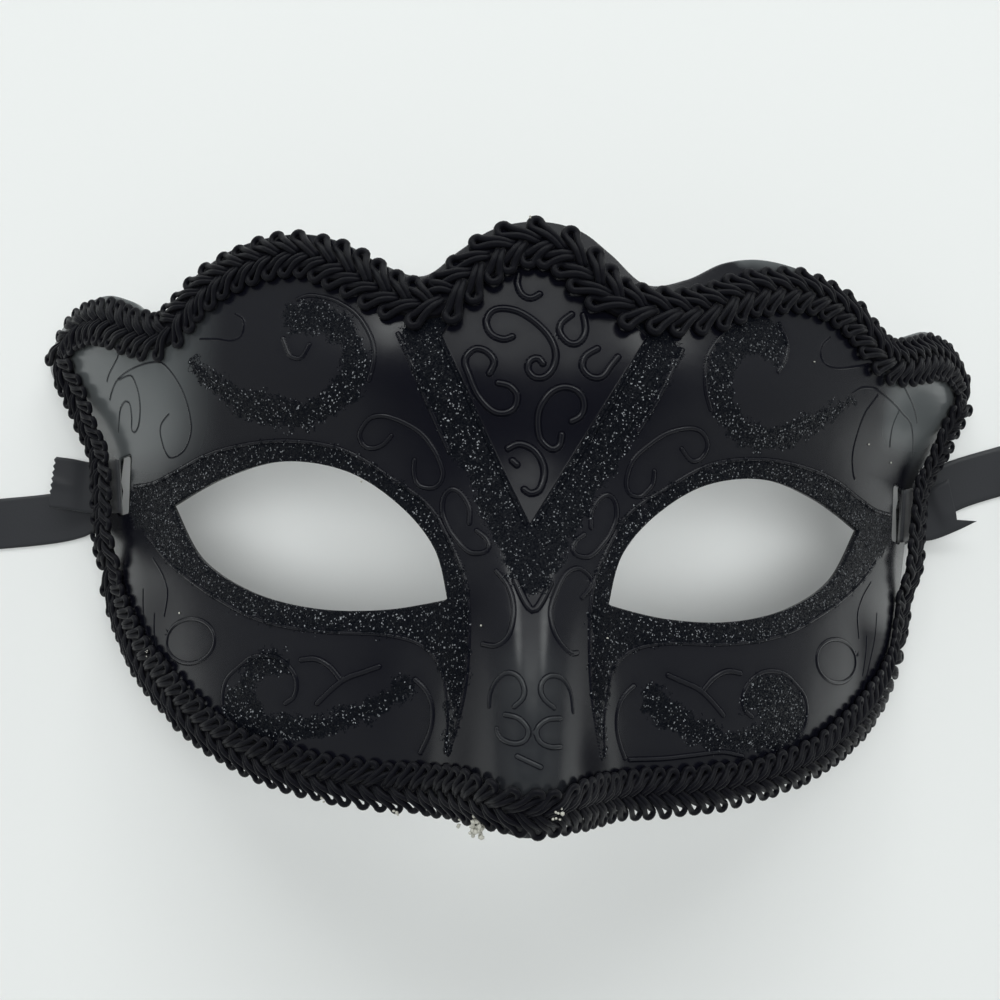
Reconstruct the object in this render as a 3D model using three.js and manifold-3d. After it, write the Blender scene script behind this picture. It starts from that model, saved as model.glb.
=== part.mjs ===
// A black half-face party mask: a thin moulded shell with two eye holes, a gimp braid
// glued round its rim and a satin ribbon tied through a slot on each side.
// It lies face up. X runs to the right side of the face seen from the front, Y to the
// forehead and Z up out of the face. The origin is on the table, under the middle.
// All sizes are in millimetres.
import * as THREE from 'three';
import { mergeVertices } from 'three/addons/utils/BufferGeometryUtils.js';
import Module from 'manifold-3d';

const wasm = await Module();
wasm.setup();

// Plan places are measured from a line just below the outer eye corners.
const eyeLineY = 1.8;
// Height of the lowest rim point of the bare surface formula below the table.
const rimLift = -8.3;

// Shell
const shellThickness = 1.2;
const crownHeight = 58;
const crownY = 7;
const noseHeight = 17;
const noseHalfWidth = 10.5;
const noseTopY = 10.5;
const noseLength = 56;
const panelDepth = 0.5;

// Soft swellings on each side: height, middle (x, y) and reach along x and y
const swellings = {
  brow: [2.2, 36, 18.5, 26, 9],
  socket: [-2.5, 42, -1.5, 26, 14],
  cheek: [2, 46, -33.5, 22, 13],
};

// Ribbon slots, one in each temple
const slotX = 73.1;
const slotY = 5.7;
const slotWidth = 3.6;
const slotHeight = 10.6;

// Braid
const braidWidth = 9.2;
const braidThickness = 1.9;
const braidGap = 0.8;
const loopPitch = 4.0;
const scallopDepth = 0.8;
const braidEdge = 0.7;
const braidHollow = 0.5;

// Ribbons
const ribbonWidth = 10;
const ribbonThickness = 0.6;
const ribbonOver = 0.82;
const ribbonUnder = -shellThickness - 0.7;
const tableGap = 0.1;
const rollRadius = 9;
const rollSides = 24;

// Right half of the shell's outline, from the top of the forehead to under the nose
const rimHalf = [
  [0, 45.6], [7, 44.4], [12.2, 40.6], [18, 35.8], [25, 37.8], [32, 42.4], [40, 44.6], [50, 43.6],
  [57.5, 39.6], [64.4, 33.2], [71, 37.2], [78, 40], [86, 39.2], [92.2, 36.2], [94.2, 31.4],
  [90.4, 25], [85, 19.4], [81.2, 13.8], [78.9, 7], [78, 0], [77.2, -6.6], [77.2, -13],
  [76.7, -19.4], [74, -25.6], [69, -31.2], [61.5, -36.8], [52, -41.2], [41, -44], [28, -45.6],
  [14, -45.6], [6.5, -47], [0, -48.8],
];

// Right eye hole: upper lid from the outer to the inner corner, then the lower lid back
const eyeUpper = [
  [61, 0.4], [51, 4.2], [40, 6.1], [29, 4], [20.4, -1.4], [14.5, -8.3], [12.2, -16.2],
];
const eyeLower = [[12.2, -16.2], [22, -17.8], [33, -17.6], [44.5, -14.7], [54.6, -8.8], [61, 0.4]];

// Sunken panel on the forehead
const panel = [[-14.6, 25.2], [-0.2, -4.8], [18.2, 26.8], [10.8, 33], [0, 39], [-9.5, 34.5]];

// Middle line of the braid as it was glued, from the top of the forehead over the right
// side, under the nose and up the left side
const braidLine = [
  [0, 41.2], [5.4, 39.2], [9.6, 34.8], [14, 31.6], [22.5, 31], [29.5, 33], [35.5, 35.8],
  [42, 37.4], [49, 37.8], [56, 35.2], [60.2, 31.6], [65, 29.9], [71, 32], [78.4, 35.2],
  [85.4, 34.9], [89, 31], [86, 25.2], [82, 19.6], [79, 14], [77, 7.6], [76.2, 0.6],
  [75.4, -6.4], [75, -12.8], [73.8, -19], [70.8, -25], [66, -30.2], [60, -34.8], [53, -38.2],
  [45, -40.4], [34, -42], [24, -42.7], [13.5, -43.2], [5.5, -43.8], [0, -44.6],
  [-5, -43.6], [-10, -42.2], [-20, -42.4], [-30, -42.2], [-39, -41.2], [-46.5, -39.3],
  [-53, -36], [-58.6, -32.4], [-63.6, -28.6], [-68.2, -24.2], [-72, -18.6], [-74.2, -12.6],
  [-74.8, -6], [-75.6, 1], [-76.4, 8], [-78.4, 14.4], [-81.4, 20.2], [-85.2, 26], [-88, 31],
  [-84, 34.8], [-76.4, 34.4], [-69, 30.8], [-62.6, 28.8], [-57, 33.2], [-52, 36.8], [-46, 39],
  [-39.2, 39.6], [-32.8, 37.2], [-27, 33.2], [-20.5, 30], [-14.8, 29.8], [-10.4, 34.2],
  [-6.4, 38.6],
];

const clamp = (t) => Math.min(1, Math.max(0, t));
const smooth = (t) => clamp(t) ** 2 * (3 - 2 * clamp(t));

const swelling = (x, y, [height, x0, y0, reachX, reachY]) => (
  height * Math.exp(-(((x - x0) / reachX) ** 2) - ((y - y0) / reachY) ** 2));

// Half the width of the face at table height, wider at the wings beside the forehead
function halfWidth(y) {
  const below = 13 - y;
  return 86 - 0.1 * below - 0.0022 * below * below + 12 * smooth((y - 11) / 22);
}

// Height of the shell's outer face over the table
function faceHeight(xSigned, y) {
  const x = Math.abs(xSigned);
  const s = x / halfWidth(y);
  const crown = crownHeight - 3 * ((y - crownY) / 45) ** 2;
  const bridge = Math.exp(-((x / noseHalfWidth) ** 2.4));
  const nose = noseHeight * smooth((noseTopY - y) / noseLength) - 5 * smooth((-39 - y) / 14);
  const arch = crown * (1 - 0.78 * s ** 2 - 0.22 * s ** 10);
  const soft = Object.values(swellings).reduce((sum, shape) => sum + swelling(x, y, shape), 0);
  return rimLift + arch + nose * bridge + soft;
}

// Unit normal of the outer face, pointing out of the face
function faceNormal(x, y) {
  const e = 0.02;
  const dx = (faceHeight(x + e, y) - faceHeight(x - e, y)) / (2 * e);
  const dy = (faceHeight(x, y + e) - faceHeight(x, y - e)) / (2 * e);
  return new THREE.Vector3(-dx, -dy, 1).normalize();
}

// A point at a height over the outer face, in the part's own frame
function facePoint(x, y, height) {
  const point = new THREE.Vector3(x, y, faceHeight(x, y));
  point.addScaledVector(faceNormal(x, y), height);
  point.y += eyeLineY;
  return point;
}

// A smooth line through points: closed, or with loose ends
function throughPoints(points, steps, closed) {
  const n = points.length;
  const at = (i) => (closed ? points[(i + n) % n] : points[Math.min(n - 1, Math.max(0, i))]);
  const line = [];
  const spans = closed ? n : n - 1;
  for (let i = 0; i < spans; i++) {
    const [a, b, c, d] = [at(i - 1), at(i), at(i + 1), at(i + 2)];
    for (let k = 0; k < steps; k++) {
      const t = k / steps;
      line.push(b.map((_, j) => 0.5 * (2 * b[j] + (c[j] - a[j]) * t
        + (2 * a[j] - 5 * b[j] + 4 * c[j] - d[j]) * t * t
        + (3 * b[j] - a[j] - 3 * c[j] + d[j]) * t * t * t)));
    }
  }
  if (!closed) line.push(points[n - 1]);
  return line;
}

const mirrored = (points) => points.map(([x, y]) => [-x, y]);

// The flat sheet that the shell is cut from: its first coordinate stretches the steep
// sides, so the cells stay even when the sheet is bent to the face.
const sideStretch = 0.45;
const sheetHalf = 100;
const sheetSpare = 4;
const sheetHeight = 102;
const sheetMiddleY = -1.6;

function sheetFromPlan([x, y]) {
  const s = x / halfWidth(y);
  return [sheetHalf * s * (1 + sideStretch * s ** 6) / (1 + sideStretch), y];
}

function planFromSheet(p, y) {
  const target = Math.abs(p) / sheetHalf;
  let low = 0;
  let high = 1.2;
  for (let i = 0; i < 40; i++) {
    const middle = (low + high) / 2;
    const value = middle * (1 + sideStretch * middle ** 6) / (1 + sideStretch);
    if (value < target) low = middle;
    else high = middle;
  }
  return Math.sign(p) * low * halfWidth(y);
}

function toManifold(geometry) {
  const bare = geometry.clone();
  bare.deleteAttribute('normal');
  bare.deleteAttribute('uv');
  const merged = mergeVertices(bare, 1e-5);
  return new wasm.Manifold(new wasm.Mesh({
    numProp: 3,
    vertProperties: new Float32Array(merged.attributes.position.array),
    triVerts: new Uint32Array(merged.index.array),
  }));
}

function toGeometry(manifold) {
  const { vertProperties, triVerts } = manifold.getMesh();
  const geometry = new THREE.BufferGeometry();
  geometry.setAttribute('position', new THREE.BufferAttribute(new Float32Array(vertProperties), 3));
  geometry.setIndex(new THREE.BufferAttribute(new Uint32Array(triVerts), 1));
  return geometry;
}

// A closed tube of one section carried along rings of points
function loft(rings, closed) {
  const sides = rings[0].length;
  const position = rings.flat().flatMap((v) => [v.x, v.y, v.z]);
  const index = [];
  const spans = closed ? rings.length : rings.length - 1;
  for (let i = 0; i < spans; i++) {
    const a = i * sides;
    const b = ((i + 1) % rings.length) * sides;
    for (let j = 0; j < sides; j++) {
      const k = (j + 1) % sides;
      index.push(a + j, b + j, b + k, a + j, b + k, a + k);
    }
  }
  if (!closed) {
    const last = (rings.length - 1) * sides;
    for (let j = 1; j < sides - 1; j++) {
      index.push(0, j, j + 1);
      index.push(last, last + j + 1, last + j);
    }
  }
  const geometry = new THREE.BufferGeometry();
  geometry.setAttribute('position', new THREE.Float32BufferAttribute(position, 3));
  geometry.setIndex(index);
  return geometry;
}

// Prism over a closed line in the flat sheet
function prism(line, bottom, depth) {
  const shape = new THREE.Shape(line.map(([x, y]) => new THREE.Vector2(x, y)));
  const geometry = new THREE.ExtrudeGeometry(shape, { depth, bevelEnabled: false });
  geometry.translate(0, 0, bottom);
  return toManifold(geometry);
}

// Flat sheet of cells that are closer together over the nose
function flatSheet() {
  const columns = 50;
  const rows = 20;
  const geometry = new THREE.BoxGeometry(2, sheetHeight, shellThickness, columns, rows, 1);
  geometry.translate(0, sheetMiddleY, shellThickness / 2);
  const half = (sheetHalf + sheetSpare) / 2;
  const at = geometry.attributes.position;
  for (let i = 0; i < at.count; i++) {
    const t = at.getX(i);
    at.setX(i, half * t * (1 + Math.abs(t)));
  }
  return toManifold(geometry);
}

// The shell: the outline, eye holes, slots and sunken panel are cut in the flat sheet,
// which is then bent to the face
function moulded(material) {
  const over = 3;
  const whole = shellThickness + 2 * over;
  const steps = 4;
  const right = throughPoints(rimHalf, steps, false);
  const rim = [...right, ...mirrored(right.slice(1, -1)).reverse()].map(sheetFromPlan);
  let sheet = flatSheet().intersect(prism(rim, -over, whole));
  const upper = throughPoints(eyeUpper, steps, false);
  const lower = throughPoints(eyeLower, steps, false);
  const eye = [...upper.slice(0, -1), ...lower.slice(0, -1)];
  const corners = [[-0.5, -0.5], [0.5, -0.5], [0.5, 0.5], [-0.5, 0.5]];
  const slot = corners.map(([i, j]) => [slotX + i * slotWidth, slotY + j * slotHeight]);
  for (const hole of [eye, mirrored(eye), slot, mirrored(slot)]) {
    sheet = sheet.subtract(prism(hole.map(sheetFromPlan), -over, whole));
  }
  const sunk = shellThickness - panelDepth;
  sheet = sheet.subtract(prism(panel.map(sheetFromPlan), sunk, over));
  const geometry = toGeometry(sheet);
  const at = geometry.attributes.position;
  for (let i = 0; i < at.count; i++) {
    const x = planFromSheet(at.getX(i), at.getY(i));
    const bent = facePoint(x, at.getY(i), at.getZ(i) - shellThickness);
    at.setXYZ(i, bent.x, bent.y, bent.z);
  }
  const mesh = new THREE.Mesh(geometry, material);
  mesh.name = 'mask_shell';
  return mesh;
}

// Points at even steps along a line bent to the face
function evenSteps(line, count) {
  const bent = line.map(([x, y]) => facePoint(x, y, braidGap));
  bent.push(bent[0].clone());
  const plan = [...line, line[0]];
  const reach = [0];
  for (let i = 1; i < bent.length; i++) reach.push(reach[i - 1] + bent[i].distanceTo(bent[i - 1]));
  const total = reach[reach.length - 1];
  const stations = [];
  let i = 1;
  for (let k = 0; k < count; k++) {
    const target = (total * k) / count;
    while (reach[i] < target) i++;
    const t = (target - reach[i - 1]) / (reach[i] - reach[i - 1]);
    stations.push([0, 1].map((j) => plan[i - 1][j] + t * (plan[i][j] - plan[i - 1][j])));
  }
  return { stations, total };
}

// A point beside the braid's middle line, carried over the curved face in short steps
function beside([x0, y0], along, distance, height) {
  let [x, y] = [x0, y0];
  const steps = 4;
  for (let i = 0; i < steps; i++) {
    const normal = faceNormal(x, y);
    const tangent = along.clone().addScaledVector(normal, -along.dot(normal)).normalize();
    x += (tangent.x * distance) / steps;
    y += (tangent.y * distance) / steps;
  }
  return facePoint(x, y, height);
}

// The braid rides up over the ribbon where the ribbon passes under it
function tieLift([x, y]) {
  const tieY = slotY + 1.5;
  const reach = Math.abs(y - tieY) / ribbonWidth;
  return Math.abs(x) > slotX - ribbonWidth ? (ribbonThickness + 1.2) * smooth(2.2 - 1.2 * reach) : 0;
}

// The braid: a flat band with rounded edges that narrows between its loops
function braid(material) {
  const line = throughPoints(braidLine, 8, true);
  const loops = Math.round(evenSteps(line, 1).total / loopPitch);
  const perLoop = 3;
  const count = loops * perLoop;
  const { stations } = evenSteps(line, count);
  const rings = stations.map((station, i) => {
    const before = stations[(i + count - 1) % count];
    const after = stations[(i + 1) % count];
    const normal = faceNormal(...station);
    const run = facePoint(...after, 0).sub(facePoint(...before, 0)).normalize();
    const side = new THREE.Vector3().crossVectors(run, normal).normalize();
    const notch = i % perLoop === 0 ? scallopDepth : 0;
    const half = braidWidth / 2 - notch;
    const bottom = braidGap + tieLift(station);
    const top = bottom + braidThickness;
    return [
      beside(station, side, -half, bottom),
      beside(station, side, half, bottom),
      beside(station, side, half - braidEdge, top - notch),
      beside(station, side, 0, top - braidHollow),
      beside(station, side, braidEdge - half, top - notch),
    ];
  });
  const mesh = new THREE.Mesh(loft(rings, true), material);
  mesh.name = 'gimp_braid';
  return mesh;
}

// The two edges of the ribbon where it lies along the wall, a distance out from the
// slot's outer end and at a height over the outer face
function hugging(side, out, y, height) {
  const x = side * (slotX + slotWidth / 2 + out);
  return [-0.5, 0.5].map((edge) => facePoint(x, y + edge * ribbonWidth, height));
}

// The two edges of the ribbon where it is free, its heading turned by yaw
function free(side, [x, y, z, yaw]) {
  const half = new THREE.Vector3(-Math.sin(yaw) * side, Math.cos(yaw), 0);
  half.multiplyScalar(ribbonWidth / 2);
  const middle = new THREE.Vector3(side * x, y + eyeLineY, z);
  return [middle.clone().sub(half), middle.clone().add(half)];
}

// The turn round the strip beside the slot: distance out, height over the outer face,
// and how far the ribbon has slid along the rim towards its tail
const turn = [
  [5, ribbonOver, 0.95], [3.1, ribbonOver, 0.8], [1.9, ribbonOver, 0.5], [0.7, ribbonOver, 0.2],
  [-0.1, 0.85 * ribbonOver, 0], [-0.6, 0.2, 0], [-0.7, -0.6, 0], [-0.6, ribbonUnder + 0.5, 0],
  [-0.1, ribbonUnder + 0.1, 0], [0.9, ribbonUnder, 0],
];

// The ribbon starts with a short tail outside the rim, runs in under the braid, turns
// through the slot round the strip beside it, comes out under the rim and lies along the
// table to the roll that holds its unused length.
function ribbon(name, side, tail, lead, material) {
  const tailY = tail[tail.length - 1][1];
  const edges = [
    ...tail.map((place) => free(side, place)),
    ...turn.map(([out, height, slide]) => (
      hugging(side, out, slotY + slide * (tailY - slotY), height))),
    ...lead.map((place) => free(side, place)),
  ];
  const centre = edges.map(([a, b]) => a.clone().add(b).multiplyScalar(0.5));
  const rings = edges.map(([a, b], i) => {
    const from = centre[Math.max(0, i - 1)];
    const to = centre[Math.min(centre.length - 1, i + 1)];
    const along = to.clone().sub(from);
    const lift = new THREE.Vector3().crossVectors(along, b.clone().sub(a)).normalize();
    lift.multiplyScalar(ribbonThickness / 2);
    return [a.clone().add(lift), b.clone().add(lift), b.clone().sub(lift), a.clone().sub(lift)];
  });
  const end = centre[centre.length - 1];
  const yaw = lead[lead.length - 1][3];
  const roll = new THREE.CylinderGeometry(rollRadius, rollRadius, ribbonWidth, rollSides);
  roll.rotateY(Math.PI / rollSides);
  roll.rotateZ(side * yaw);
  roll.translate(end.x, end.y, rollRadius + tableGap);
  const whole = toManifold(loft(rings, false)).add(toManifold(roll));
  const mesh = new THREE.Mesh(toGeometry(whole), material);
  mesh.name = name;
  return mesh;
}

const plastic = new THREE.MeshStandardMaterial({ color: 0x26262a, roughness: 0.38, metalness: 0 });
const cord = new THREE.MeshStandardMaterial({ color: 0x141417, roughness: 0.85, metalness: 0 });
const satin = new THREE.MeshStandardMaterial({ color: 0x303136, roughness: 0.5, metalness: 0 });

// Tail and table run of each ribbon: distance from the middle, place along Y, height and
// the turn of its heading
const leftTail = [[89.8, 7.4, 4.6, 0.03], [86.6, 7.3, 3.4, 0], [83.6, 7, 2.1, 0]];
const leftLead = [
  [77.2, 5.6, 2.8, 0], [80.4, 4.6, 0.9, -0.1], [84.4, 2.4, 0.5, -0.16], [92, 0.6, 0.4, -0.13],
  [106.4, -1.3, 0.4, -0.13], [116.4, -2.6, 0.7, -0.13],
];
const rightTail = [[90.4, 10.6, 5, 0.45], [87, 8.8, 4, 0.4], [83.8, 7.4, 2.6, 0.2]];
const rightLead = [
  [77.2, 6, 2.8, 0], [80.4, 7.4, 0.9, 0.1], [84.4, 10.6, 0.5, 0.3], [92, 14.8, 0.4, 0.32],
  [106, 19.4, 0.4, 0.32], [116, 22.8, 0.7, 0.32],
];

const group = new THREE.Group();
group.add(moulded(plastic));
group.add(braid(cord));
group.add(ribbon('ribbon_left', -1, leftTail, leftLead, satin));
group.add(ribbon('ribbon_right', 1, rightTail, rightLead, satin));

export default group;
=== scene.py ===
# Looks of the black half-face party mask: moulded shell, gimp braid, satin ribbons.
# All sizes are in millimetres until a mesh is made. X runs to the right side of the face
# seen from the front, Y to the forehead and Z up out of the face.
import bpy
import math
import numpy as np
from mathutils import Matrix, Vector
from mathutils.geometry import delaunay_2d_cdt
from mathutils.kdtree import KDTree


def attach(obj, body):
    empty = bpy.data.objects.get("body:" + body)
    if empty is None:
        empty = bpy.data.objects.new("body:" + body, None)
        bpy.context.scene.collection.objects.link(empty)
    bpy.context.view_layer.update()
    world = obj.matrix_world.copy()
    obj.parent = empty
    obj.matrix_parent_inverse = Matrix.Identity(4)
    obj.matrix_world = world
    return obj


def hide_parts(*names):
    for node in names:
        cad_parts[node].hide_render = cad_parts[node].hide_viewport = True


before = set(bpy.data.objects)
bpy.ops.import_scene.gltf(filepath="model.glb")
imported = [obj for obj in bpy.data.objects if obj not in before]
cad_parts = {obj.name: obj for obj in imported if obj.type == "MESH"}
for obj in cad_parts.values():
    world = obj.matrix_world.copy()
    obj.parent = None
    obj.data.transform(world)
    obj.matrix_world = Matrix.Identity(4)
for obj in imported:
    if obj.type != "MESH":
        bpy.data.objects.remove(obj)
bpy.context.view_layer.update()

rng = np.random.default_rng(7)
MM = 0.001

# Camera: the photograph's viewing place, and turns about its own axes
CAMERA_PLACE = (-10.81, -25.67, 198.62)
PITCH, YAW, ROLL = -0.17614, 0.04115, -0.02972
LENS, SENSOR_WIDTH = 36, 36
CLIP_START, CLIP_END = 0.01, 20


def make_camera():
    data = bpy.data.cameras.new("camera")
    data.lens = LENS
    data.sensor_width = SENSOR_WIDTH
    data.clip_start = CLIP_START
    data.clip_end = CLIP_END
    camera = bpy.data.objects.new("camera", data)
    bpy.context.collection.objects.link(camera)
    turn = Matrix.Rotation(ROLL, 4, "Z") @ Matrix.Rotation(PITCH, 4, "X")
    turn = turn @ Matrix.Rotation(YAW, 4, "Y")
    place = Vector(CAMERA_PLACE) * MM
    camera.matrix_world = Matrix.Translation(place) @ turn.transposed()
    bpy.context.scene.camera = camera


make_camera()

# The face's form, the same as in the solids
EYE_LINE = 1.8
RIM_LIFT = -8.3
THICKNESS = 1.2
# Half width at one height, how it narrows below that and how it flares to the temples
SIDE_Y, SIDE_HALF, TAPER, TAPER_CURVE = 13, 86, 0.1, 0.0022
FLARE, FLARE_Y, FLARE_RUN = 12, 11, 22
# Arch across the face: its height, how that falls, and how round and how square it is
CROWN, CROWN_Y, CROWN_FALL, CROWN_REACH = 58, 7, 3, 45
ARCH_ROUND, ARCH_SQUARE = 0.78, 0.22
NOSE, NOSE_HALF, NOSE_TOP, NOSE_LENGTH, NOSE_POWER = 17, 10.5, 10.5, 56, 2.4
TIP_FALL, TIP_Y, TIP_RUN = 5, -39, 14
PANEL_DEPTH = 0.5
# Height, middle (x, y) and reach along x and y of each soft swelling
SWELLINGS = ((2.2, 36, 18.5, 26, 9), (-2.5, 42, -1.5, 26, 14), (2, 46, -33.5, 22, 13))
SIDE_STRETCH = 0.45
SHEET_HALF = 100


def smooth(t):
    t = np.clip(t, 0, 1)
    return t * t * (3 - 2 * t)


def ramp(value, start, end):
    """Smooth rise from 0 to 1 between two values"""
    return smooth((value - start) / (end - start))


def unit(vectors):
    return vectors / np.linalg.norm(vectors, axis=-1, keepdims=True)


def half_width(y):
    below = SIDE_Y - y
    tapered = SIDE_HALF - TAPER * below - TAPER_CURVE * below * below
    return tapered + FLARE * smooth((y - FLARE_Y) / FLARE_RUN)


def face_height(x, y):
    x = np.abs(x)
    s = x / half_width(y)
    crown = CROWN - CROWN_FALL * ((y - CROWN_Y) / CROWN_REACH) ** 2
    arch = crown * (1 - ARCH_ROUND * s ** 2 - ARCH_SQUARE * s ** 10)
    bridge = np.exp(-((x / NOSE_HALF) ** NOSE_POWER))
    nose = NOSE * smooth((NOSE_TOP - y) / NOSE_LENGTH) - TIP_FALL * smooth((TIP_Y - y) / TIP_RUN)
    z = RIM_LIFT + arch + nose * bridge
    for height, x0, y0, reach_x, reach_y in SWELLINGS:
        z = z + height * np.exp(-(((x - x0) / reach_x) ** 2) - ((y - y0) / reach_y) ** 2)
    return z


def face_normal(x, y):
    e = 0.02
    dx = (face_height(x + e, y) - face_height(x - e, y)) / (2 * e)
    dy = (face_height(x, y + e) - face_height(x, y - e)) / (2 * e)
    return unit(np.stack([-dx, -dy, np.ones_like(dx)], -1))


def face_point(x, y, height=0.0):
    """Point over the plan place (x, y), at a height along the face's normal"""
    x, y = np.asarray(x, float), np.asarray(y, float)
    p = np.stack([x, y, face_height(x, y)], -1)
    p = p + face_normal(x, y) * np.asarray(height, float)[..., None]
    p[..., 1] += EYE_LINE
    return p


def to_sheet(p):
    """Plan points on the flattened sheet, where the steep sides take up more room"""
    s = p[:, 0] / half_width(p[:, 1])
    u = SHEET_HALF * s * (1 + SIDE_STRETCH * s ** 6) / (1 + SIDE_STRETCH)
    return np.stack([u, p[:, 1]], 1)


def from_sheet(p):
    """The way back from the flattened sheet, found in steps that close in on it"""
    target = np.abs(p[:, 0]) / SHEET_HALF * (1 + SIDE_STRETCH)
    s = np.clip(target, 0, 1.1)
    for _ in range(30):
        value = s * (1 + SIDE_STRETCH * s ** 6) - target
        s = s - value / (1 + 7 * SIDE_STRETCH * s ** 6)
    return np.stack([np.sign(p[:, 0]) * s * half_width(p[:, 1]), p[:, 1]], 1)


def through(points, steps, closed=False):
    """A smooth line through the points, with so many steps from one to the next"""
    p = np.asarray(points, float)
    n = len(p)
    index = np.arange(n if closed else n - 1)

    def at(i):
        return p[i % n] if closed else p[np.clip(i, 0, n - 1)]

    a, b, c, d = (at(index + k)[:, None] for k in (-1, 0, 1, 2))
    t = (np.arange(steps) / steps)[None, :, None]
    line = 0.5 * (2 * b + (c - a) * t + (2 * a - 5 * b + 4 * c - d) * t ** 2
                  + (3 * b - a - 3 * c + d) * t ** 3)
    line = line.reshape(-1, p.shape[1])
    return line if closed else np.vstack([line, p[-1:]])


def straight_sides(points, steps):
    """A closed line with straight runs between its corners"""
    p = np.asarray(points, float)
    q = np.roll(p, -1, axis=0)
    t = np.linspace(0, 1, steps, endpoint=False)[None, :, None]
    return (p[:, None] + (q - p)[:, None] * t).reshape(-1, 2)


def reach_of(points):
    """Length of the line of points up to each of them"""
    return np.r_[0, np.cumsum(np.linalg.norm(np.diff(points, axis=0), axis=1))]


def even(line, step, closed=False):
    """The same line with stations at even steps of its length over the face"""
    if closed:
        line = np.vstack([line, line[:1]])
    reach = reach_of(face_point(*line.T))
    count = max(2, round(reach[-1] / step))
    at = np.linspace(0, reach[-1], count + 1)
    if closed:
        at = at[:-1]
    return np.stack([np.interp(at, reach, line[:, k]) for k in (0, 1)], 1)


def grid_faces(rows, columns, around=True, closed=False):
    """Faces between rows of points, each row open or closed round, and the last row joined
    to the first where the whole is closed"""
    faces = []
    for i in range(rows if closed else rows - 1):
        j = (i + 1) % rows
        for k in range(columns if around else columns - 1):
            m = (k + 1) % columns
            faces.append((i * columns + k, i * columns + m, j * columns + m, j * columns + k))
    return faces


def mirror(points):
    return [(-x, y) for x, y in points]


def side_of(line, closed=False):
    """Unit vector over the face to the right of the line's run, at each station"""
    if closed:
        ahead, behind = np.roll(line, -1, axis=0), np.roll(line, 1, axis=0)
    else:
        ahead, behind = np.vstack([line[1:], line[-1:]]), np.vstack([line[:1], line[:-1]])
    run = face_point(*ahead.T) - face_point(*behind.T)
    return unit(np.cross(run, face_normal(*line.T)))


def inside(p, ring):
    """Which points lie inside a closed line, all in the plane"""
    result = np.zeros(len(p), bool)
    x, y = p[:, 0], p[:, 1]
    for (x0, y0), (x1, y1) in zip(ring, np.roll(ring, -1, axis=0)):
        if y0 == y1:
            continue
        crosses = (y0 > y) != (y1 > y)
        result ^= crosses & (x < (x1 - x0) * (y - y0) / (y1 - y0) + x0)
    return result


def distance_to(p, ring):
    """Distance of points in the plane from a closed line"""
    best = np.full(len(p), 1e9)
    for a, b in zip(ring, np.roll(ring, -1, axis=0)):
        ab = b - a
        t = np.clip(((p - a) @ ab) / max(ab @ ab, 1e-12), 0, 1)
        gap = p - a - t[:, None] * ab
        best = np.minimum(best, np.einsum("ij,ij->i", gap, gap))
    return np.sqrt(best)


# Outlines: right half of the rim, eye hole, ribbon slot and sunken panel
RIM_HALF = [
    (0, 45.6), (7, 44.4), (12.2, 40.6), (18, 35.8), (25, 37.6), (32, 41.8), (40, 43.8), (50, 42.9),
    (57.5, 39.2), (64.4, 33.2), (71, 37.2), (78, 40), (86, 39.2), (92.2, 36.2), (94.2, 31.4), (90.4, 25),
    (85, 19.4), (81.2, 13.8), (78.9, 7), (78, 0), (77.2, -6.6), (77.2, -13), (76.7, -19.4), (74, -25.6),
    (69, -31.2), (61.5, -36.8), (52, -41.2), (41, -44), (28, -45.6), (14, -45.6), (6.5, -47), (0, -48.8),
]
# Left half's upper and cheek points, which lie a little further in than the right half's
RIM_LEFT_TOP = [
    (-7, 43.9), (-12.4, 39.9), (-18, 35.5), (-25, 38), (-32, 42.4), (-40, 44.6), (-50, 43.6),
    (-57.7, 39.5),
]
CHEEK_FROM = 22
RIM_LEFT_CHEEK = [(-73.4, -25.3), (-67.4, -30), (-60.1, -35.4), (-51.1, -40.1)]
EYE_UPPER = [(61, 0.4), (51, 4.2), (40, 6.1), (29, 4), (20.4, -1.4), (14.5, -8.3), (12.2, -16.2)]
EYE_LOWER = [(12.2, -16.2), (22, -17.8), (33, -17.6), (44.5, -14.7), (54.6, -8.8), (61, 0.4)]
SLOT_X, SLOT_Y, SLOT_WIDTH, SLOT_HEIGHT = 73.1, 5.7, 3.6, 10.6
PANEL = [(-14.6, 25.2), (-0.2, -4.8), (18.2, 26.8), (10.8, 33), (0, 39), (-9.5, 34.5)]

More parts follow.
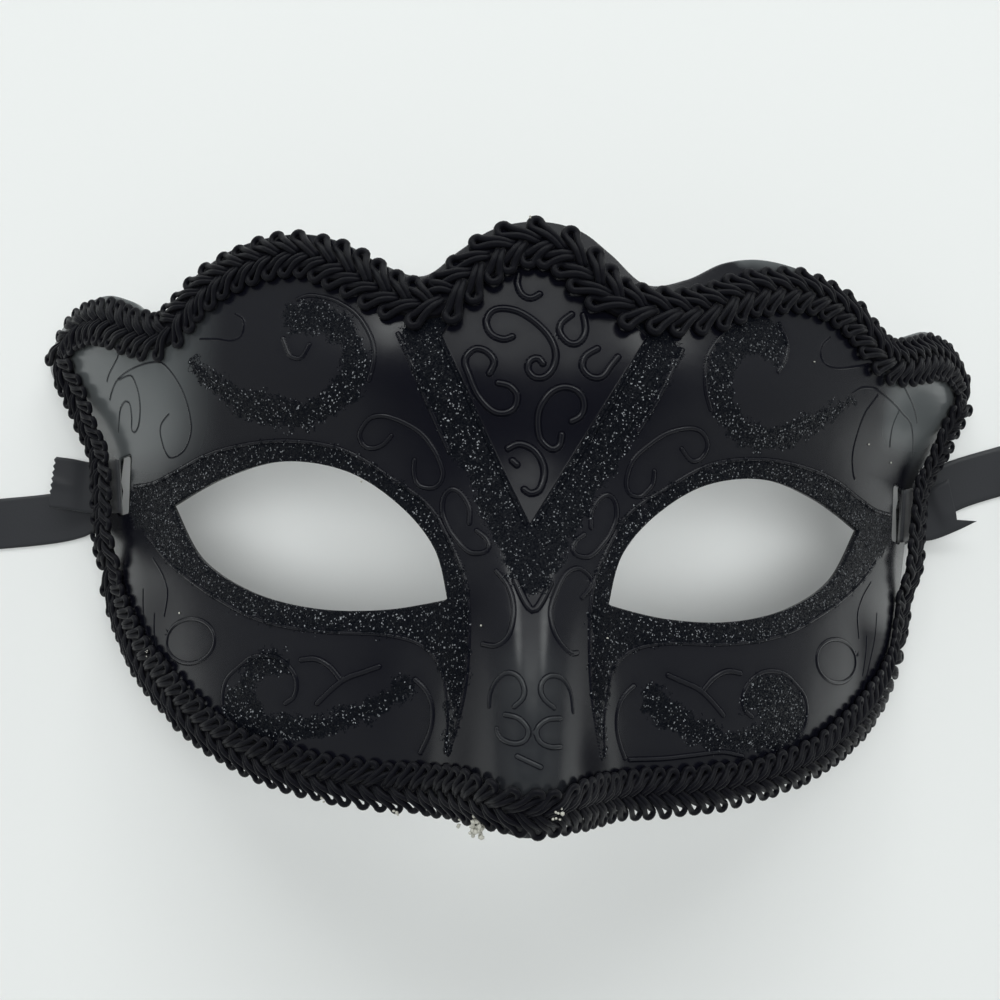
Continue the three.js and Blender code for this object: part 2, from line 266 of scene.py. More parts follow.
# Raised lines of the moulding. Panel scrolls first.
SCROLLS = [
    [(-2.7, 36.1), (-2.9, 34.4), (-2.1, 32.6), (-0.7, 32), (0.7, 32.8)],
    [(-3.5, 25.3), (-4.9, 24.8), (-6.8, 25.6), (-7.7, 27.6), (-6.9, 29.5), (-5.1, 30.1), (-2.5, 29.6),
     (0.2, 27.9), (2.4, 25.5), (3.4, 22.8), (3, 20.3), (1.7, 18.8), (0.1, 18.7), (-0.9, 19.9),
     (-0.6, 21.4), (0.6, 21.9), (1.4, 21)],
    [(5.9, 29.6), (4.3, 28.1), (4, 26.4), (5.4, 24.7), (7, 24.8), (8.1, 26.7), (7.8, 29.6)],
    [(10, 24), (8.1, 22.6), (7.6, 20.7), (8.9, 19.2), (10.8, 19.3), (12.2, 21.3), (13.3, 22.8)],
    [(-6.9, 19), (-6.2, 21), (-7.5, 22.7), (-9.4, 23), (-10.8, 21.1), (-10, 18.4), (-8.6, 15.4),
     (-6.5, 13.2), (-4.6, 12.7), (-2.9, 13.6), (-2.5, 15.6), (-3.7, 17.1), (-5.5, 17.5)],
    [(4.6, 9.7), (4.3, 8), (3, 7.4), (1.3, 8.9), (0.8, 11.6), (1.2, 14.1), (2.8, 16.4), (4.9, 17.3),
     (7.1, 16.6), (8, 14.7), (7.5, 12.8), (6.1, 11.9)],
    [(-3.7, 7.2), (-2, 8), (0.1, 7.3), (1.5, 5.6), (2, 3.4), (1.3, 0.9), (-0.1, 0.2), (-1.1, 0.8)],
    [(-3, 5.3), (-2.3, 4.7)],
]
# Lines that both sides share, given for the right side
EYE_BORDER_TOP = [
    (70.2, 4.9), (65.4, 4.8), (60.5, 6.1), (55, 8), (48.5, 9.1), (40, 9.3), (32.2, 8.1), (26.8, 6),
    (21, 2.2), (17, -0.5), (14.4, -3.2), (12.8, -6), (11, -9.6), (9.6, -13.2), (8.9, -17.5), (8.7, -23),
    (9, -29), (10, -34.4), (11.1, -38.4),
]
EYE_BORDER_LOW = [
    (66, -4.4), (61.3, -9), (56.6, -12.3), (51.4, -15.3), (44.5, -18.6), (38, -20.4), (30.2, -21.3),
    (22, -21.5), (16.5, -22.6), (13.4, -25), (12.2, -28), (11.4, -33), (11.6, -38.2),
]
BEAN = [
    (9.2, -4.7), (9.3, -2.3), (10.4, -0.3), (11.8, 0.7), (12.9, 0.1), (13.4, -1.5), (13.2, -3.4),
    (12.2, -5.6), (11.1, -7.1), (10, -8.4), (8.7, -9.3), (7, -9.3), (6.2, -8.6), (6.6, -7.2),
    (8.1, -5.9),
]
CHEEK_HOOK = [(34.4, -25.6), (32, -25.4), (29.7, -26.5), (28, -28.3)]
CHEEK_LEAF = [(22, -26.3), (24.1, -27.1), (27, -28.2), (29.2, -29.9), (31.4, -32.1)]
CHEEK_CURL = [
    (36.6, -32.3), (35.2, -31.2), (34.9, -29.1), (35.9, -27.1), (38.2, -25.5), (40.6, -25.1), (43, -25.5),
    (45.3, -27.1), (47.2, -29), (47.8, -31.5), (47.4, -34), (46.3, -35.4),
]
CHEEK_DOME = [(16.4, -28.1), (14.8, -29.5), (13.8, -31.5), (13.6, -33.8), (14.1, -36.1), (15.2, -38.6)]
TEMPLE_ARC = [(64.5, -8.4), (62, -11.4), (60.6, -14.6), (61, -18.6)]
TEMPLE_EDGES = [
    [(63.4, -18.2), (63.2, -21.4), (62.4, -25)],
    [(66.6, -13.8), (66.2, -18), (64.8, -22.4), (62.8, -27.6)],
]
# Lines of one side only
RIGHT_LINES = [
    [(24, 9), (25.7, 7.4), (27.4, 7.9), (28.5, 10), (27.4, 11.9), (25.1, 12.3), (21.5, 11.2), (18.3, 8.9),
     (15.9, 6.4), (14.9, 3.1), (15.5, 1.2), (17.2, 0.9), (18.3, 1.8), (19.3, 3.1), (19.5, 5.1)],
    [(33.5, 31.6), (30.4, 28), (27.9, 23.9), (27.6, 18.8), (28.6, 15.6)],
    [(41.7, 32.2), (43, 29.2), (42.5, 26.2), (40.9, 23.6)],
    [(51.8, 31.9), (50.1, 30.1), (49.8, 28), (50.8, 26.8), (53.3, 26.7), (57.6, 27.9), (60.3, 28.9)],
    [(56.8, 23.2), (58.7, 24.4), (61.5, 25.1), (64, 24.7), (67.2, 23.8), (70.4, 22.6), (72.9, 21.8),
     (74.9, 19.7), (76.6, 17)],
    [(63, 24.2), (60.2, 20.5), (58.8, 16.5), (58.3, 13.2), (58.8, 10.2), (59.3, 9.2)],
    [(69, 22.8), (68, 20.4), (67.9, 18), (68.2, 16.7)],
    [(69.3, 27.6), (70.5, 26.5), (72.7, 24.8), (75, 22.4)],
    [(7.5, -15.6), (8.9, -14), (9.1, -12.5), (7.1, -11.2), (5.1, -12.3), (3.6, -15.1), (2.7, -17.6),
     (2.9, -20.1), (3.9, -22.2), (5.6, -23.7), (6.7, -23.6)],
    [(16, -38.9), (21.2, -38.8), (26.3, -38.3), (31.5, -37.8), (35.2, -38.5)],
    [(23.8, 24.8), (19.8, 16.5), (16.6, 11)],
]
LEFT_LINES = [
    [(-21.8, 9.1), (-22.9, 7.9), (-24.5, 7.3), (-26, 7.7), (-26.8, 9), (-26.7, 10.1), (-25.4, 11.8),
     (-23.7, 12.2), (-21.9, 11.9), (-19.3, 10.8), (-17, 9.3), (-15.2, 7.1), (-14.1, 5.1), (-13.5, 3),
     (-14.1, 1.4), (-15.4, 0.9), (-17.3, 1.5), (-18, 3.4), (-18, 5.3)],
    [(-38.4, 32.4), (-36.5, 32.9), (-34, 32.4), (-31.5, 31.4), (-28.4, 29.1), (-26.3, 26.1),
     (-25.2, 23.3), (-25, 20.6), (-25.6, 17.7)],
    [(-40.3, 25.6), (-39.1, 22.9), (-38.3, 22.1), (-36.8, 22), (-35.7, 24.1)],
    [(-49.2, 30.9), (-47.7, 29.8), (-47.5, 28.2), (-48, 26.7), (-49.8, 26.3), (-52.1, 26.9),
     (-55.5, 27.4)],
    [(-75.9, 21), (-75.2, 22), (-73.7, 23.5), (-71.1, 24.5), (-67.5, 25), (-63.8, 24.8), (-61.8, 23.4),
     (-60.1, 21.4), (-58.7, 19.1), (-57.6, 16.2), (-57.1, 13.2), (-57.7, 10.9), (-59, 9.3), (-61.4, 8.7),
     (-62.9, 10.3), (-63.9, 13), (-63.8, 14.5), (-63.1, 15.3), (-61.9, 16.1)],
    [(-73, 23.6), (-71.4, 23.8), (-70.1, 23.7), (-69.3, 22.6), (-68.6, 20.7), (-68.4, 18.6),
     (-68.7, 16.6), (-69.3, 15.2), (-70.2, 14.6), (-71, 15.2), (-70.7, 17), (-70.8, 19.1), (-71.3, 19.7),
     (-72.1, 19.9), (-73.3, 19.1), (-74, 17.7), (-74.7, 15.6)],
    [(-74.1, 29.2), (-73, 28.1), (-73.2, 27.2), (-74.4, 26), (-75.5, 24.9), (-76.1, 24)],
    [(-5.1, -12.2), (-3.5, -14.3), (-2.7, -16.8), (-2.7, -19.4), (-3.4, -21.8), (-4.9, -23),
     (-6.8, -22.8)],
    [(-21.4, 25.3), (-16.5, 14.5), (-12.6, 6.4)],
]
PANEL_LINES = [
    [(-15.1, 24.9), (-8, 10.5), (-0.9, -4.9)],
    [(0.5, -5), (9.8, 10.5), (18.8, 26.4)],
]
V_TIP = [(-2.4, -13.6), (0.1, -18), (2.7, -13.9)]
# Scrolls on the nose tip
NOSE_SCROLLS = [
    [(-5.7, -31.3), (-5.6, -29.6), (-4.8, -27.8), (-3.4, -26.7), (-1.9, -27.2), (-1.1, -28.8),
     (-1.3, -30.1), (-2.4, -31.2)],
    [(3, -31.2), (1.6, -30.1), (1.1, -28.8), (1.6, -27.5), (2.8, -26.9), (4.4, -27.4), (5.5, -29.1),
     (5.9, -31.7)],
    [(-3.6, -32.3), (-1.8, -32.7), (-0.5, -34.2), (-1, -35.6), (-2.5, -36), (-4.1, -35.4), (-4.7, -34.2)],
    [(4, -32.6), (2, -32.8), (0.6, -34.1), (1, -35.6), (2.4, -36.3), (4, -36.3)],
    [(-1.9, -37.6), (0, -38.4), (1.2, -38.9)],
]
# The small ring on the cheek: its middle and its reach along x and y
CHEEK_CIRCLE = (55, -22.9, 5.05, 3.7)
# Half width and height of each kind of raised line
BORDER_TOP_LINE, BORDER_LOW_LINE = (0.3, 0.2), (0.26, 0.16)
BEAN_LINE, HOOK_LINE, CURL_LINE, DOME_LINE = (0.34, 0.22), (0.36, 0.22), (0.32, 0.18), (0.36, 0.24)
CIRCLE_LINE, ARC_LINE, FAINT_LINE = (0.3, 0.2), (0.22, 0.08), (0.2, 0.07)
SCROLL_LINE, BROW_LINE, NOSE_LINE = (0.46, 0.4), (0.32, 0.22), (0.3, 0.2)
TIP_LINE, PANEL_LINE = (0.42, 0.3), (0.26, 0.2)
# Lines that start further out than this are the faint ones of the temples
FAINT_FROM = 48

# Painted glitter, given in plan. The eye bands lie between their border lines.
GLITTER_V = [
    (-21.4, 25.3), (-16.5, 14.5), (-12.4, 6), (-9.8, 3.3), (-8.8, 0), (-7.7, -3), (-6.2, -6.2),
    (-4.6, -9), (-3.2, -13.2), (-1.2, -15.6), (1.6, -15.6), (3.6, -12.6), (5.2, -9.2), (6.6, -6.4),
    (8.6, -3.6), (10.2, 0.7), (12.5, 3.7), (15.6, 9.1), (18.2, 13.5), (23.8, 24.8), (20, 30), (16, 30),
    (17, 26.6), (-0.2, -3.8), (-13.4, 25), (-13.5, 29), (-19, 30),
]
GLITTER_LEFT = [
    (-58.1, 23.4), (-54.8, 19.6), (-51.6, 17.2), (-47.7, 13.6), (-41.9, 11.4), (-34.7, 10.9),
    (-30.4, 13.2), (-27.3, 14.6), (-25.7, 18.7), (-25.9, 22), (-28.3, 27.3), (-31.4, 30.6), (-34.9, 32),
    (-39.7, 31.8), (-41, 29.5), (-39.4, 26.4), (-34.6, 25.8), (-32.1, 24.9), (-30.3, 22.8), (-30.6, 19.4),
    (-32.4, 16.3), (-35.5, 14.7), (-39.3, 15.4), (-43.4, 17.2), (-47.7, 18.1), (-50.6, 20.6), (-54, 22.3),
    (-56.5, 25),
]
GLITTER_RIGHT = [
    (30.4, 28), (34, 33), (41.5, 32.6), (42.7, 29.3), (42.3, 26.4), (40.9, 24.2), (39.1, 24.8),
    (37.3, 25.9), (34.8, 25.1), (32.6, 22.1), (32.2, 18.3), (33.8, 15.8), (36.4, 14.4), (40.1, 14.6),
    (45.7, 16.8), (51.7, 20.1), (56, 22.3), (59.5, 23.6), (55.5, 20.2), (49.8, 15.6), (43.8, 12),
    (37.8, 10.4), (33.4, 10.9), (29.6, 14.2), (27.8, 18.8), (28.1, 23.9),
]
GLITTER_CHEEK_LEFT = [
    (-37.2, -23.8), (-41.1, -24.2), (-43.4, -26.1), (-45, -29), (-47.1, -30.6), (-48, -32.9),
    (-46.6, -35.7), (-40.7, -38), (-35.6, -38), (-31.4, -37.5), (-26.8, -35.8), (-22, -34.1),
    (-18.4, -31.7), (-16.2, -29), (-16.9, -27.8), (-19, -27.5), (-21.4, -29.8), (-24.7, -31.7),
    (-28.5, -33.3), (-34.1, -34.1), (-39.1, -34), (-41.3, -32), (-42.4, -30.5), (-40.8, -28.7),
    (-38.4, -28.2), (-36.1, -27.5),
]
GLITTER_CHEEK_RIGHT = [
    (36.3, -26.8), (38.2, -25.7), (40.6, -25.4), (42.7, -25.6), (45.2, -27.3), (47, -29), (47.5, -31.5),
    (47.2, -34.1), (45.6, -36.3), (41.5, -37.6), (37.1, -37.7), (33, -37.5), (28.6, -37.6), (25.9, -36.6),
    (23.5, -34.9), (20, -33.9), (17.5, -31.4), (17.4, -29.2), (18.7, -27.3), (20.7, -27.6), (22.5, -29.6),
    (25.7, -31.7), (28.6, -33.1), (32.7, -34.6), (36.7, -34.2), (38.5, -32.8), (37.5, -31.9),
    (34.7, -31.6), (34.3, -29.8),
]
GLITTER_AREAS = [GLITTER_V, GLITTER_LEFT, GLITTER_RIGHT, GLITTER_CHEEK_LEFT, GLITTER_CHEEK_RIGHT]
# Points that close the eye bands at their outer ends
EYE_BAND_END = [(69, -2.2), (71.3, -0.6), (71.3, 4)]


def strokes():
    """Every raised line: its points, half its width and its height"""
    both = [
        (EYE_BORDER_TOP, BORDER_TOP_LINE), (EYE_BORDER_LOW, BORDER_LOW_LINE), (BEAN, BEAN_LINE),
        (CHEEK_HOOK, HOOK_LINE), (CHEEK_LEAF, HOOK_LINE), (CHEEK_CURL, CURL_LINE),
        (CHEEK_DOME, DOME_LINE), (TEMPLE_ARC, ARC_LINE),
    ]
    both += [(line, FAINT_LINE) for line in TEMPLE_EDGES]
    circle_x, circle_y, reach_x, reach_y = CHEEK_CIRCLE
    turn = np.linspace(0.3, 0.3 + 2 * math.pi, 25)
    ring = [(circle_x + reach_x * math.cos(a), circle_y + reach_y * math.sin(a)) for a in turn]
    both.append((ring, CIRCLE_LINE))
    result = [(line, SCROLL_LINE) for line in SCROLLS]
    result += both + [(mirror(line), size) for line, size in both]
    for line in RIGHT_LINES + LEFT_LINES:
        result.append((line, FAINT_LINE if abs(line[0][0]) > FAINT_FROM else BROW_LINE))
    result += [(line, NOSE_LINE) for line in NOSE_SCROLLS]
    result.append((V_TIP, TIP_LINE))
    result += [(line, PANEL_LINE) for line in PANEL_LINES]
    return [(line, *size) for line, size in result]


def to_segment(p, a, b):
    """Distance of each point from its own segment"""
    ab = b - a
    t = np.einsum("ij,ij->i", p - a, ab) / np.maximum(np.einsum("ij,ij->i", ab, ab), 1e-12)
    return np.linalg.norm(p - a - np.clip(t, 0, 1)[:, None] * ab, axis=1)


def tree_of(plan):
    """Search tree of plan points on the face"""
    bent = face_point(*plan.T)
    tree = KDTree(len(bent))
    for i, p in enumerate(bent):
        tree.insert(p, i)
    tree.balance()
    return tree


def thin_out(points, kept, gap):
    """Those of the points that stay clear of the kept ones and of each other"""
    cells = np.round(face_point(*points.T) / (0.7 * gap)).astype(int)
    points = points[np.sort(np.unique(cells, axis=0, return_index=True)[1])]
    tree = tree_of(kept)
    near = np.array([tree.find(p)[2] for p in face_point(*points.T)])
    return points[near > gap]


def make_mesh(name, points, faces):
    mesh = bpy.data.meshes.new(name)
    mesh.from_pydata((np.asarray(points) * MM).tolist(), [], faces)
    mesh.update()
    mesh.polygons.foreach_set("use_smooth", np.full(len(mesh.polygons), True))
    piece = bpy.data.objects.new(name, mesh)
    bpy.context.collection.objects.link(piece)
    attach(piece, "root")
    return piece


def add_field(piece, name, values):
    """A number for each point of the piece, which its material reads"""
    field = piece.data.attributes.new(name, "FLOAT", "POINT")
    field.data.foreach_set("value", np.asarray(values, np.float32))


# Steps from each given point to the next, of outlines, raised lines and glitter borders
OUTLINE_STEPS, LINE_STEPS, BORDER_STEPS = 12, 10, 3
def cap(line, end, back, radius):
    """Points round the end of a raised line"""
    along = line[end] - line[back]
    start = math.atan2(along[1], along[0])
    normal = face_normal(*line[end])
    a = unit(np.array([normal[2], 0, -normal[0]]))
    b = np.cross(normal, a)
    turns = start + np.array([-1.1, -0.55, 0, 0.55, 1.1])
    ring = np.cos(turns)[:, None] * a + np.sin(turns)[:, None] * b
    return line[end] + radius * ring[:, :2]


# Steps along the shell's outlines and raised lines, and between the points of its faces
RIM_STEP, EYE_STEP, SLOT_STEP, PANEL_STEP, STROKE_STEP = 0.7, 0.6, 0.5, 0.5, 0.55
FRONT_SPACING, BACK_SPACING = 1.25, 2.2
FRONT_GAP, BACK_GAP = 0.45 * FRONT_SPACING, 0.7
GRID_LOW, GRID_HIGH = -52, 50
SLOT_CORNER, SLOT_STATIONS, SLOT_TURN = 0.7, 28, 0.01
# Steps between the points from which the distance to a raised line or an edge is found
LINE_MARKS, EDGE_MARKS = 0.15, 0.1
# The slots' walls stand upright but for this lean towards the ears
SLOT_LEAN = 0.36
# Rows of points beside the outlines, across the panel's step and beside the raised lines.
# Those are shares of half the line's width.
EDGE_RAILS = (0.05, 0.13, 0.24, 0.36)
PANEL_RAILS = (0.07, -0.07, 0.18, -0.18)
THIN_RAILS, WIDE_RAILS = (0, 0.55, 1, 1.5), (0, 0.4, 0.72, 0.95, 1.16, 1.32, 1.5)
THIN_LINE = 0.25
RAIL_GAP = 0.045
# Rounding of the outer and the inner edges, and width of the panel's step
EDGE_ROUND, INNER_ROUND, PANEL_SLOPE = 0.34, 0.2, 0.18
# How full a raised line's section is
BEAD_POWER = 0.6
# A raised line's foot: middle, half width and depth, and the painted shade of the crease along it
FOOT_AT, FOOT_HALF, FOOT_DEPTH = 1.17, 0.24, 0.28
CREASE_AT, CREASE_HALF, THIN_CREASE = 1.16, 0.26, 0.85
GLITTER_REACH = 2
# Steps to the side that tell which way is inward and that give the relief's normals
INWARD_PROBE, NORMAL_PROBE = 0.2, 0.015


class Shell:
    """The moulded shell with its relief, rounded edges and painted bands"""

    def __init__(self):
        left = mirror(RIM_HALF[1:-1])
        left[:len(RIM_LEFT_TOP)] = RIM_LEFT_TOP
        left[CHEEK_FROM:CHEEK_FROM + len(RIM_LEFT_CHEEK)] = RIM_LEFT_CHEEK
        rim = through(RIM_HALF + left[::-1], OUTLINE_STEPS, True)
        eye = np.vstack([through(half, OUTLINE_STEPS)[:-1] for half in (EYE_UPPER, EYE_LOWER)])
        turn = np.linspace(0, 2 * math.pi, SLOT_STATIONS, endpoint=False) + SLOT_TURN
        slot = np.stack([np.cos(turn), np.sin(turn)], 1) * SLOT_CORNER
        straight = np.array([SLOT_WIDTH, SLOT_HEIGHT]) / 2 - SLOT_CORNER
        slot = slot + np.sign(slot) * straight + [SLOT_X, SLOT_Y]
        flip = np.array([-1, 1])
        self.rings = [even(rim, RIM_STEP, True)]
        for ring, step in ((eye, EYE_STEP), (slot, SLOT_STEP)):
            self.rings += [even(ring, step, True), even(ring * flip, step, True)]
        self.outline_count = sum(len(ring) for ring in self.rings)
        self.panel = even(straight_sides(PANEL, OUTLINE_STEPS), PANEL_STEP, True)
        self.strokes = []
        for line, width, height in strokes():
            self.strokes.append((even(through(line, LINE_STEPS), STROKE_STEP), width, height))

    def inward(self, k):
        """Unit vectors over the face from outline k into the material"""
        ring = self.rings[k]
        side = side_of(ring, True)
        within = inside(ring + INWARD_PROBE * side[:, :2], ring)
        wanted = within if k == 0 else ~within
        return side * np.where(wanted.mean() > 0.5, 1, -1)

    def solid(self, p, flat=False):
        """Which points lie on material, in plan or on the flattened sheet"""
        rings = [to_sheet(ring) for ring in self.rings] if flat else self.rings
        keep = inside(p, rings[0])
        for ring in rings[1:]:
            keep &= ~inside(p, ring)
        return keep

    def rails(self):
        """Plan points that follow the outlines, the panel's edge and the raised lines"""
        layers = self.rings + [self.panel]
        for d in EDGE_RAILS:
            layers += [ring + d * self.inward(k)[:, :2] for k, ring in enumerate(self.rings)]
        panel_side = side_of(self.panel, True)[:, :2]
        layers += [self.panel + d * panel_side for d in PANEL_RAILS]
        kept = np.vstack(layers)
        for share in sorted({*THIN_RAILS, *WIDE_RAILS}):
            stage = []
            for line, width, _ in self.strokes:
                if share not in (THIN_RAILS if width < THIN_LINE else WIDE_RAILS):
                    continue
                side = side_of(line)[:, :2]
                for sign in ((1, -1) if share else (1,)):
                    stage.append(line + sign * share * width * side)
                if share:
                    for end, back in ((0, 1), (-1, -2)):
                        stage.append(cap(line, end, back, share * width))
            stage = np.vstack(stage)
            stage = stage[self.solid(stage)]
            kept = np.vstack([kept, thin_out(stage, kept, RAIL_GAP)])
        return kept

    def grid(self, spacing):
        """Plan points in even triangles over the sheet"""
        u = np.arange(-SHEET_HALF - 1, SHEET_HALF + 1, spacing)
        v = np.arange(GRID_LOW, GRID_HIGH, spacing * math.sqrt(0.75))
        gu, gv = np.meshgrid(u, v)
        gu = gu + (np.arange(len(v)) % 2)[:, None] * spacing / 2
        plan = from_sheet(np.stack([gu.ravel(), gv.ravel()], 1))
        return plan[self.solid(plan)]

    def triangles(self, plan):
        """Points and triangles over plan points, whose outlines come first, and the place
        of each plan point among the new ones"""
        edges, start = [], 0
        for ring in self.rings + [self.panel]:
            n = len(ring)
            edges += [(start + i, start + (i + 1) % n) for i in range(n)]
            start += n
        result = delaunay_2d_cdt([Vector(p) for p in to_sheet(plan)], edges, [], 0, 1e-6)
        flat = np.array([tuple(p) for p in result[0]])
        faces = np.array([f for f in result[2] if len(f) == 3])
        place = np.full(len(plan), -1)
        for new, olds in enumerate(result[3]):
            place[olds] = new
        faces = faces[self.solid(flat[faces].mean(axis=1), True)]
        a, b, c = (flat[faces[:, i]] for i in range(3))
        turn = (b - a)[:, 0] * (c - a)[:, 1] - (b - a)[:, 1] * (c - a)[:, 0]
        faces[turn < 0] = faces[turn < 0][:, ::-1]
        return from_sheet(flat), faces, place

    def prepare(self):
        """Sample points of the raised lines and the outlines, for finding distances"""
        lines = [(even(line, LINE_MARKS), w, h) for line, w, h in self.strokes]
        plan = np.vstack([line for line, _, _ in lines])
        self.half = np.concatenate([np.full(len(line), w) for line, w, _ in lines])
        self.tall = np.concatenate([np.full(len(line), h) for line, _, h in lines])
        self.marks = face_point(*plan.T)
        ends = np.cumsum([len(line) for line, _, _ in lines])
        self.after = np.arange(len(plan)) + 1
        self.after[ends - 1] -= 1
        self.before = np.arange(len(plan)) - 1
        self.before[np.r_[0, ends[:-1]]] += 1
        self.stroke_tree = tree_of(plan)
        self.edge_tree = tree_of(np.vstack([even(ring, EDGE_MARKS, True) for ring in self.rings]))

    def relief(self, plan):
        """Height of the outer face over the plain form, and the painted shade of its creases"""
        sunk = inside(plan, self.panel)
        depth = distance_to(plan, self.panel) * np.where(sunk, 1, -1)
        height = -PANEL_DEPTH * smooth(0.5 + depth / PANEL_SLOPE)
        bent = face_point(*plan.T)
        index = np.array([self.stroke_tree.find(p)[1] for p in bent])
        gap = np.minimum(to_segment(bent, self.marks[self.before[index]], self.marks[index]),
                         to_segment(bent, self.marks[index], self.marks[self.after[index]]))
        t = gap / self.half[index]
        bead = np.clip(1 - t * t, 0, 1) ** BEAD_POWER
        foot = np.clip(1 - ((t - FOOT_AT) / FOOT_HALF) ** 2, 0, 1) ** 2
        height += self.tall[index] * (bead - FOOT_DEPTH * foot)
        thin = self.half[index] < THIN_LINE
        crease = np.where(thin, np.exp(-(t / THIN_CREASE) ** 4),
                          np.exp(-((t - CREASE_AT) / CREASE_HALF) ** 2))
        gap = np.array([self.edge_tree.find(p)[2] for p in bent])
        lack = np.clip(1 - gap / EDGE_ROUND, 0, 1)
        height -= EDGE_ROUND * (1 - np.sqrt(1 - lack * lack))
        return height, crease

    def normals(self, plan):
        """Normals of the outer face with its relief"""
        n = face_normal(*plan.T)
        first = unit(np.cross([0, 1, 0], n))
        steps = []
        for tangent in (first, np.cross(n, first)):
            ends = []
            for sign in (1, -1):
                at = plan + sign * NORMAL_PROBE * tangent[:, :2]
                ends.append(face_point(*at.T, self.relief(at)[0]))
            steps.append(ends[0] - ends[1])
        return unit(np.cross(*steps))

    def glitter(self, plan):
        """Signed distance in millimetres into the painted glitter"""
        top, low = (through(line, BORDER_STEPS) for line in (EYE_BORDER_TOP, EYE_BORDER_LOW))
        band = np.vstack([top, low[::-1], EYE_BAND_END])
        best = np.full(len(plan), -np.inf)
        for region in GLITTER_AREAS + [band, band * [-1, 1]]:
            ring = np.asarray(region, float)
            near = distance_to(plan, ring)
            best = np.maximum(best, np.where(inside(plan, ring), near, -near))
        best = np.clip(best, -GLITTER_REACH, GLITTER_REACH)
        return np.where(inside(plan, self.panel), -GLITTER_REACH, best)

    def painted_reflection_and_glue(self, plan):
        """How grey the plastic is made, from 0 to 1: a painted reflection of the bright room at the
        temples and on the nose, and whitish glue film on the rim"""
        x, y = plan.T
        # Painted reflection of the bright room at both temples
        left = ramp(-x, 50, 66) * ramp(y, 2, 16)
        right = ramp(x, 63, 69) * ramp(y, 14, 20)
        # Glue film on the upper rim; the nose term after it is a painted reflection
        film = 0.9 * ramp(y, 41.8, 42.6) * ramp(x, 27, 31) * ramp(-x, -48, -44)
        nose = 0.22 * np.exp(-(x / 5) ** 2) * ramp(-y, 20, 28)
        return left + right + film + nose

    def painted_shade(self, plan):
        """Painted shade where the face mirrors the dark braid and itself, from 0 to 1"""
        x, y = plan.T
        cheek = np.where(x > 0, 1, 0.6) * ramp(np.abs(x), 56, 63) * ramp(-y, 10, 18)
        nose = 0.7 * np.exp(-((np.abs(x) - 8.8) / 3) ** 2) * ramp(-y, 10, 18)
        return cheek + nose

    def front(self):
        """Outer face: points, normals, triangles, places of the outlines, and what the
        material reads at each point"""
        plan = self.rails()
        plan = np.vstack([plan, thin_out(self.grid(FRONT_SPACING), plan, FRONT_GAP)])
        plan, faces, place = self.triangles(plan)
        self.prepare()
        height, crease = self.relief(plan)
        fields = {
            "glitter": self.glitter(plan), "painted_reflection_and_glue": self.painted_reflection_and_glue(plan),
            # Painted shade along the creases and where the face mirrors the braid
            "crease": np.maximum(crease, self.painted_shade(plan)),
        }
        return face_point(*plan.T, height), self.normals(plan), faces, place, fields

    def back(self):
        """Inner face: points, normals, triangles and places of the outlines"""
        edges = np.vstack(self.rings + [self.panel])
        plan = np.vstack([edges, thin_out(self.grid(BACK_SPACING), edges, BACK_GAP)])
        plan, faces, place = self.triangles(plan)
        lack = np.zeros(len(plan))
        lack[place[:self.outline_count]] = INNER_ROUND
        points = face_point(*plan.T, -THICKNESS + lack)
        normals = -face_normal(*plan.T)
        slots = place[sum(len(ring) for ring in self.rings[:3]):self.outline_count]
        drop = (THICKNESS - INNER_ROUND) / np.abs(normals[slots, 2])
        lean = np.stack([-SLOT_LEAN * np.sign(plan[slots, 0]), 0 * drop, 1 + 0 * drop], 1)
        points[slots] = face_point(*plan[slots].T) - drop[:, None] * lean
        return points, normals, faces, place

    def build(self):
        """Both faces, joined by a wall along each outline"""
        points, normals, faces, place, fields = self.front()
        inner_points, inner_normals, inner_faces, inner_place = self.back()
        shift = len(points)
        all_faces = faces.tolist() + (inner_faces[:, ::-1] + shift).tolist()
        start = 0
        for k, ring in enumerate(self.rings):
            n = len(ring)
            outer, inner = place[start:start + n], inner_place[start:start + n]
            start += n
            outward = -self.inward(k)
            normals[outer] = outward
            inner_normals[inner] = unit(outward + inner_normals[inner])
            x, y = ring.T
            area = np.sum(x * np.roll(y, -1) - np.roll(x, -1) * y)
            forward = (area > 0) == (k == 0)
            for i in range(n):
                j = (i + 1) % n
                quad = [outer[i], inner[i] + shift, inner[j] + shift, outer[j]]
                quad = quad if forward else [quad[0], quad[3], quad[2], quad[1]]
                all_faces.append([int(q) for q in quad])
        piece = make_mesh("shell", np.vstack([points, inner_points]), all_faces)
        normals = np.vstack([normals, inner_normals])
        piece.data.normals_split_custom_set_from_vertices(normals.tolist())
        for name, values in fields.items():
            plain = -GLITTER_REACH if name == "glitter" else 0
            add_field(piece, name, np.r_[values, np.full(len(inner_points), plain)])
        return piece


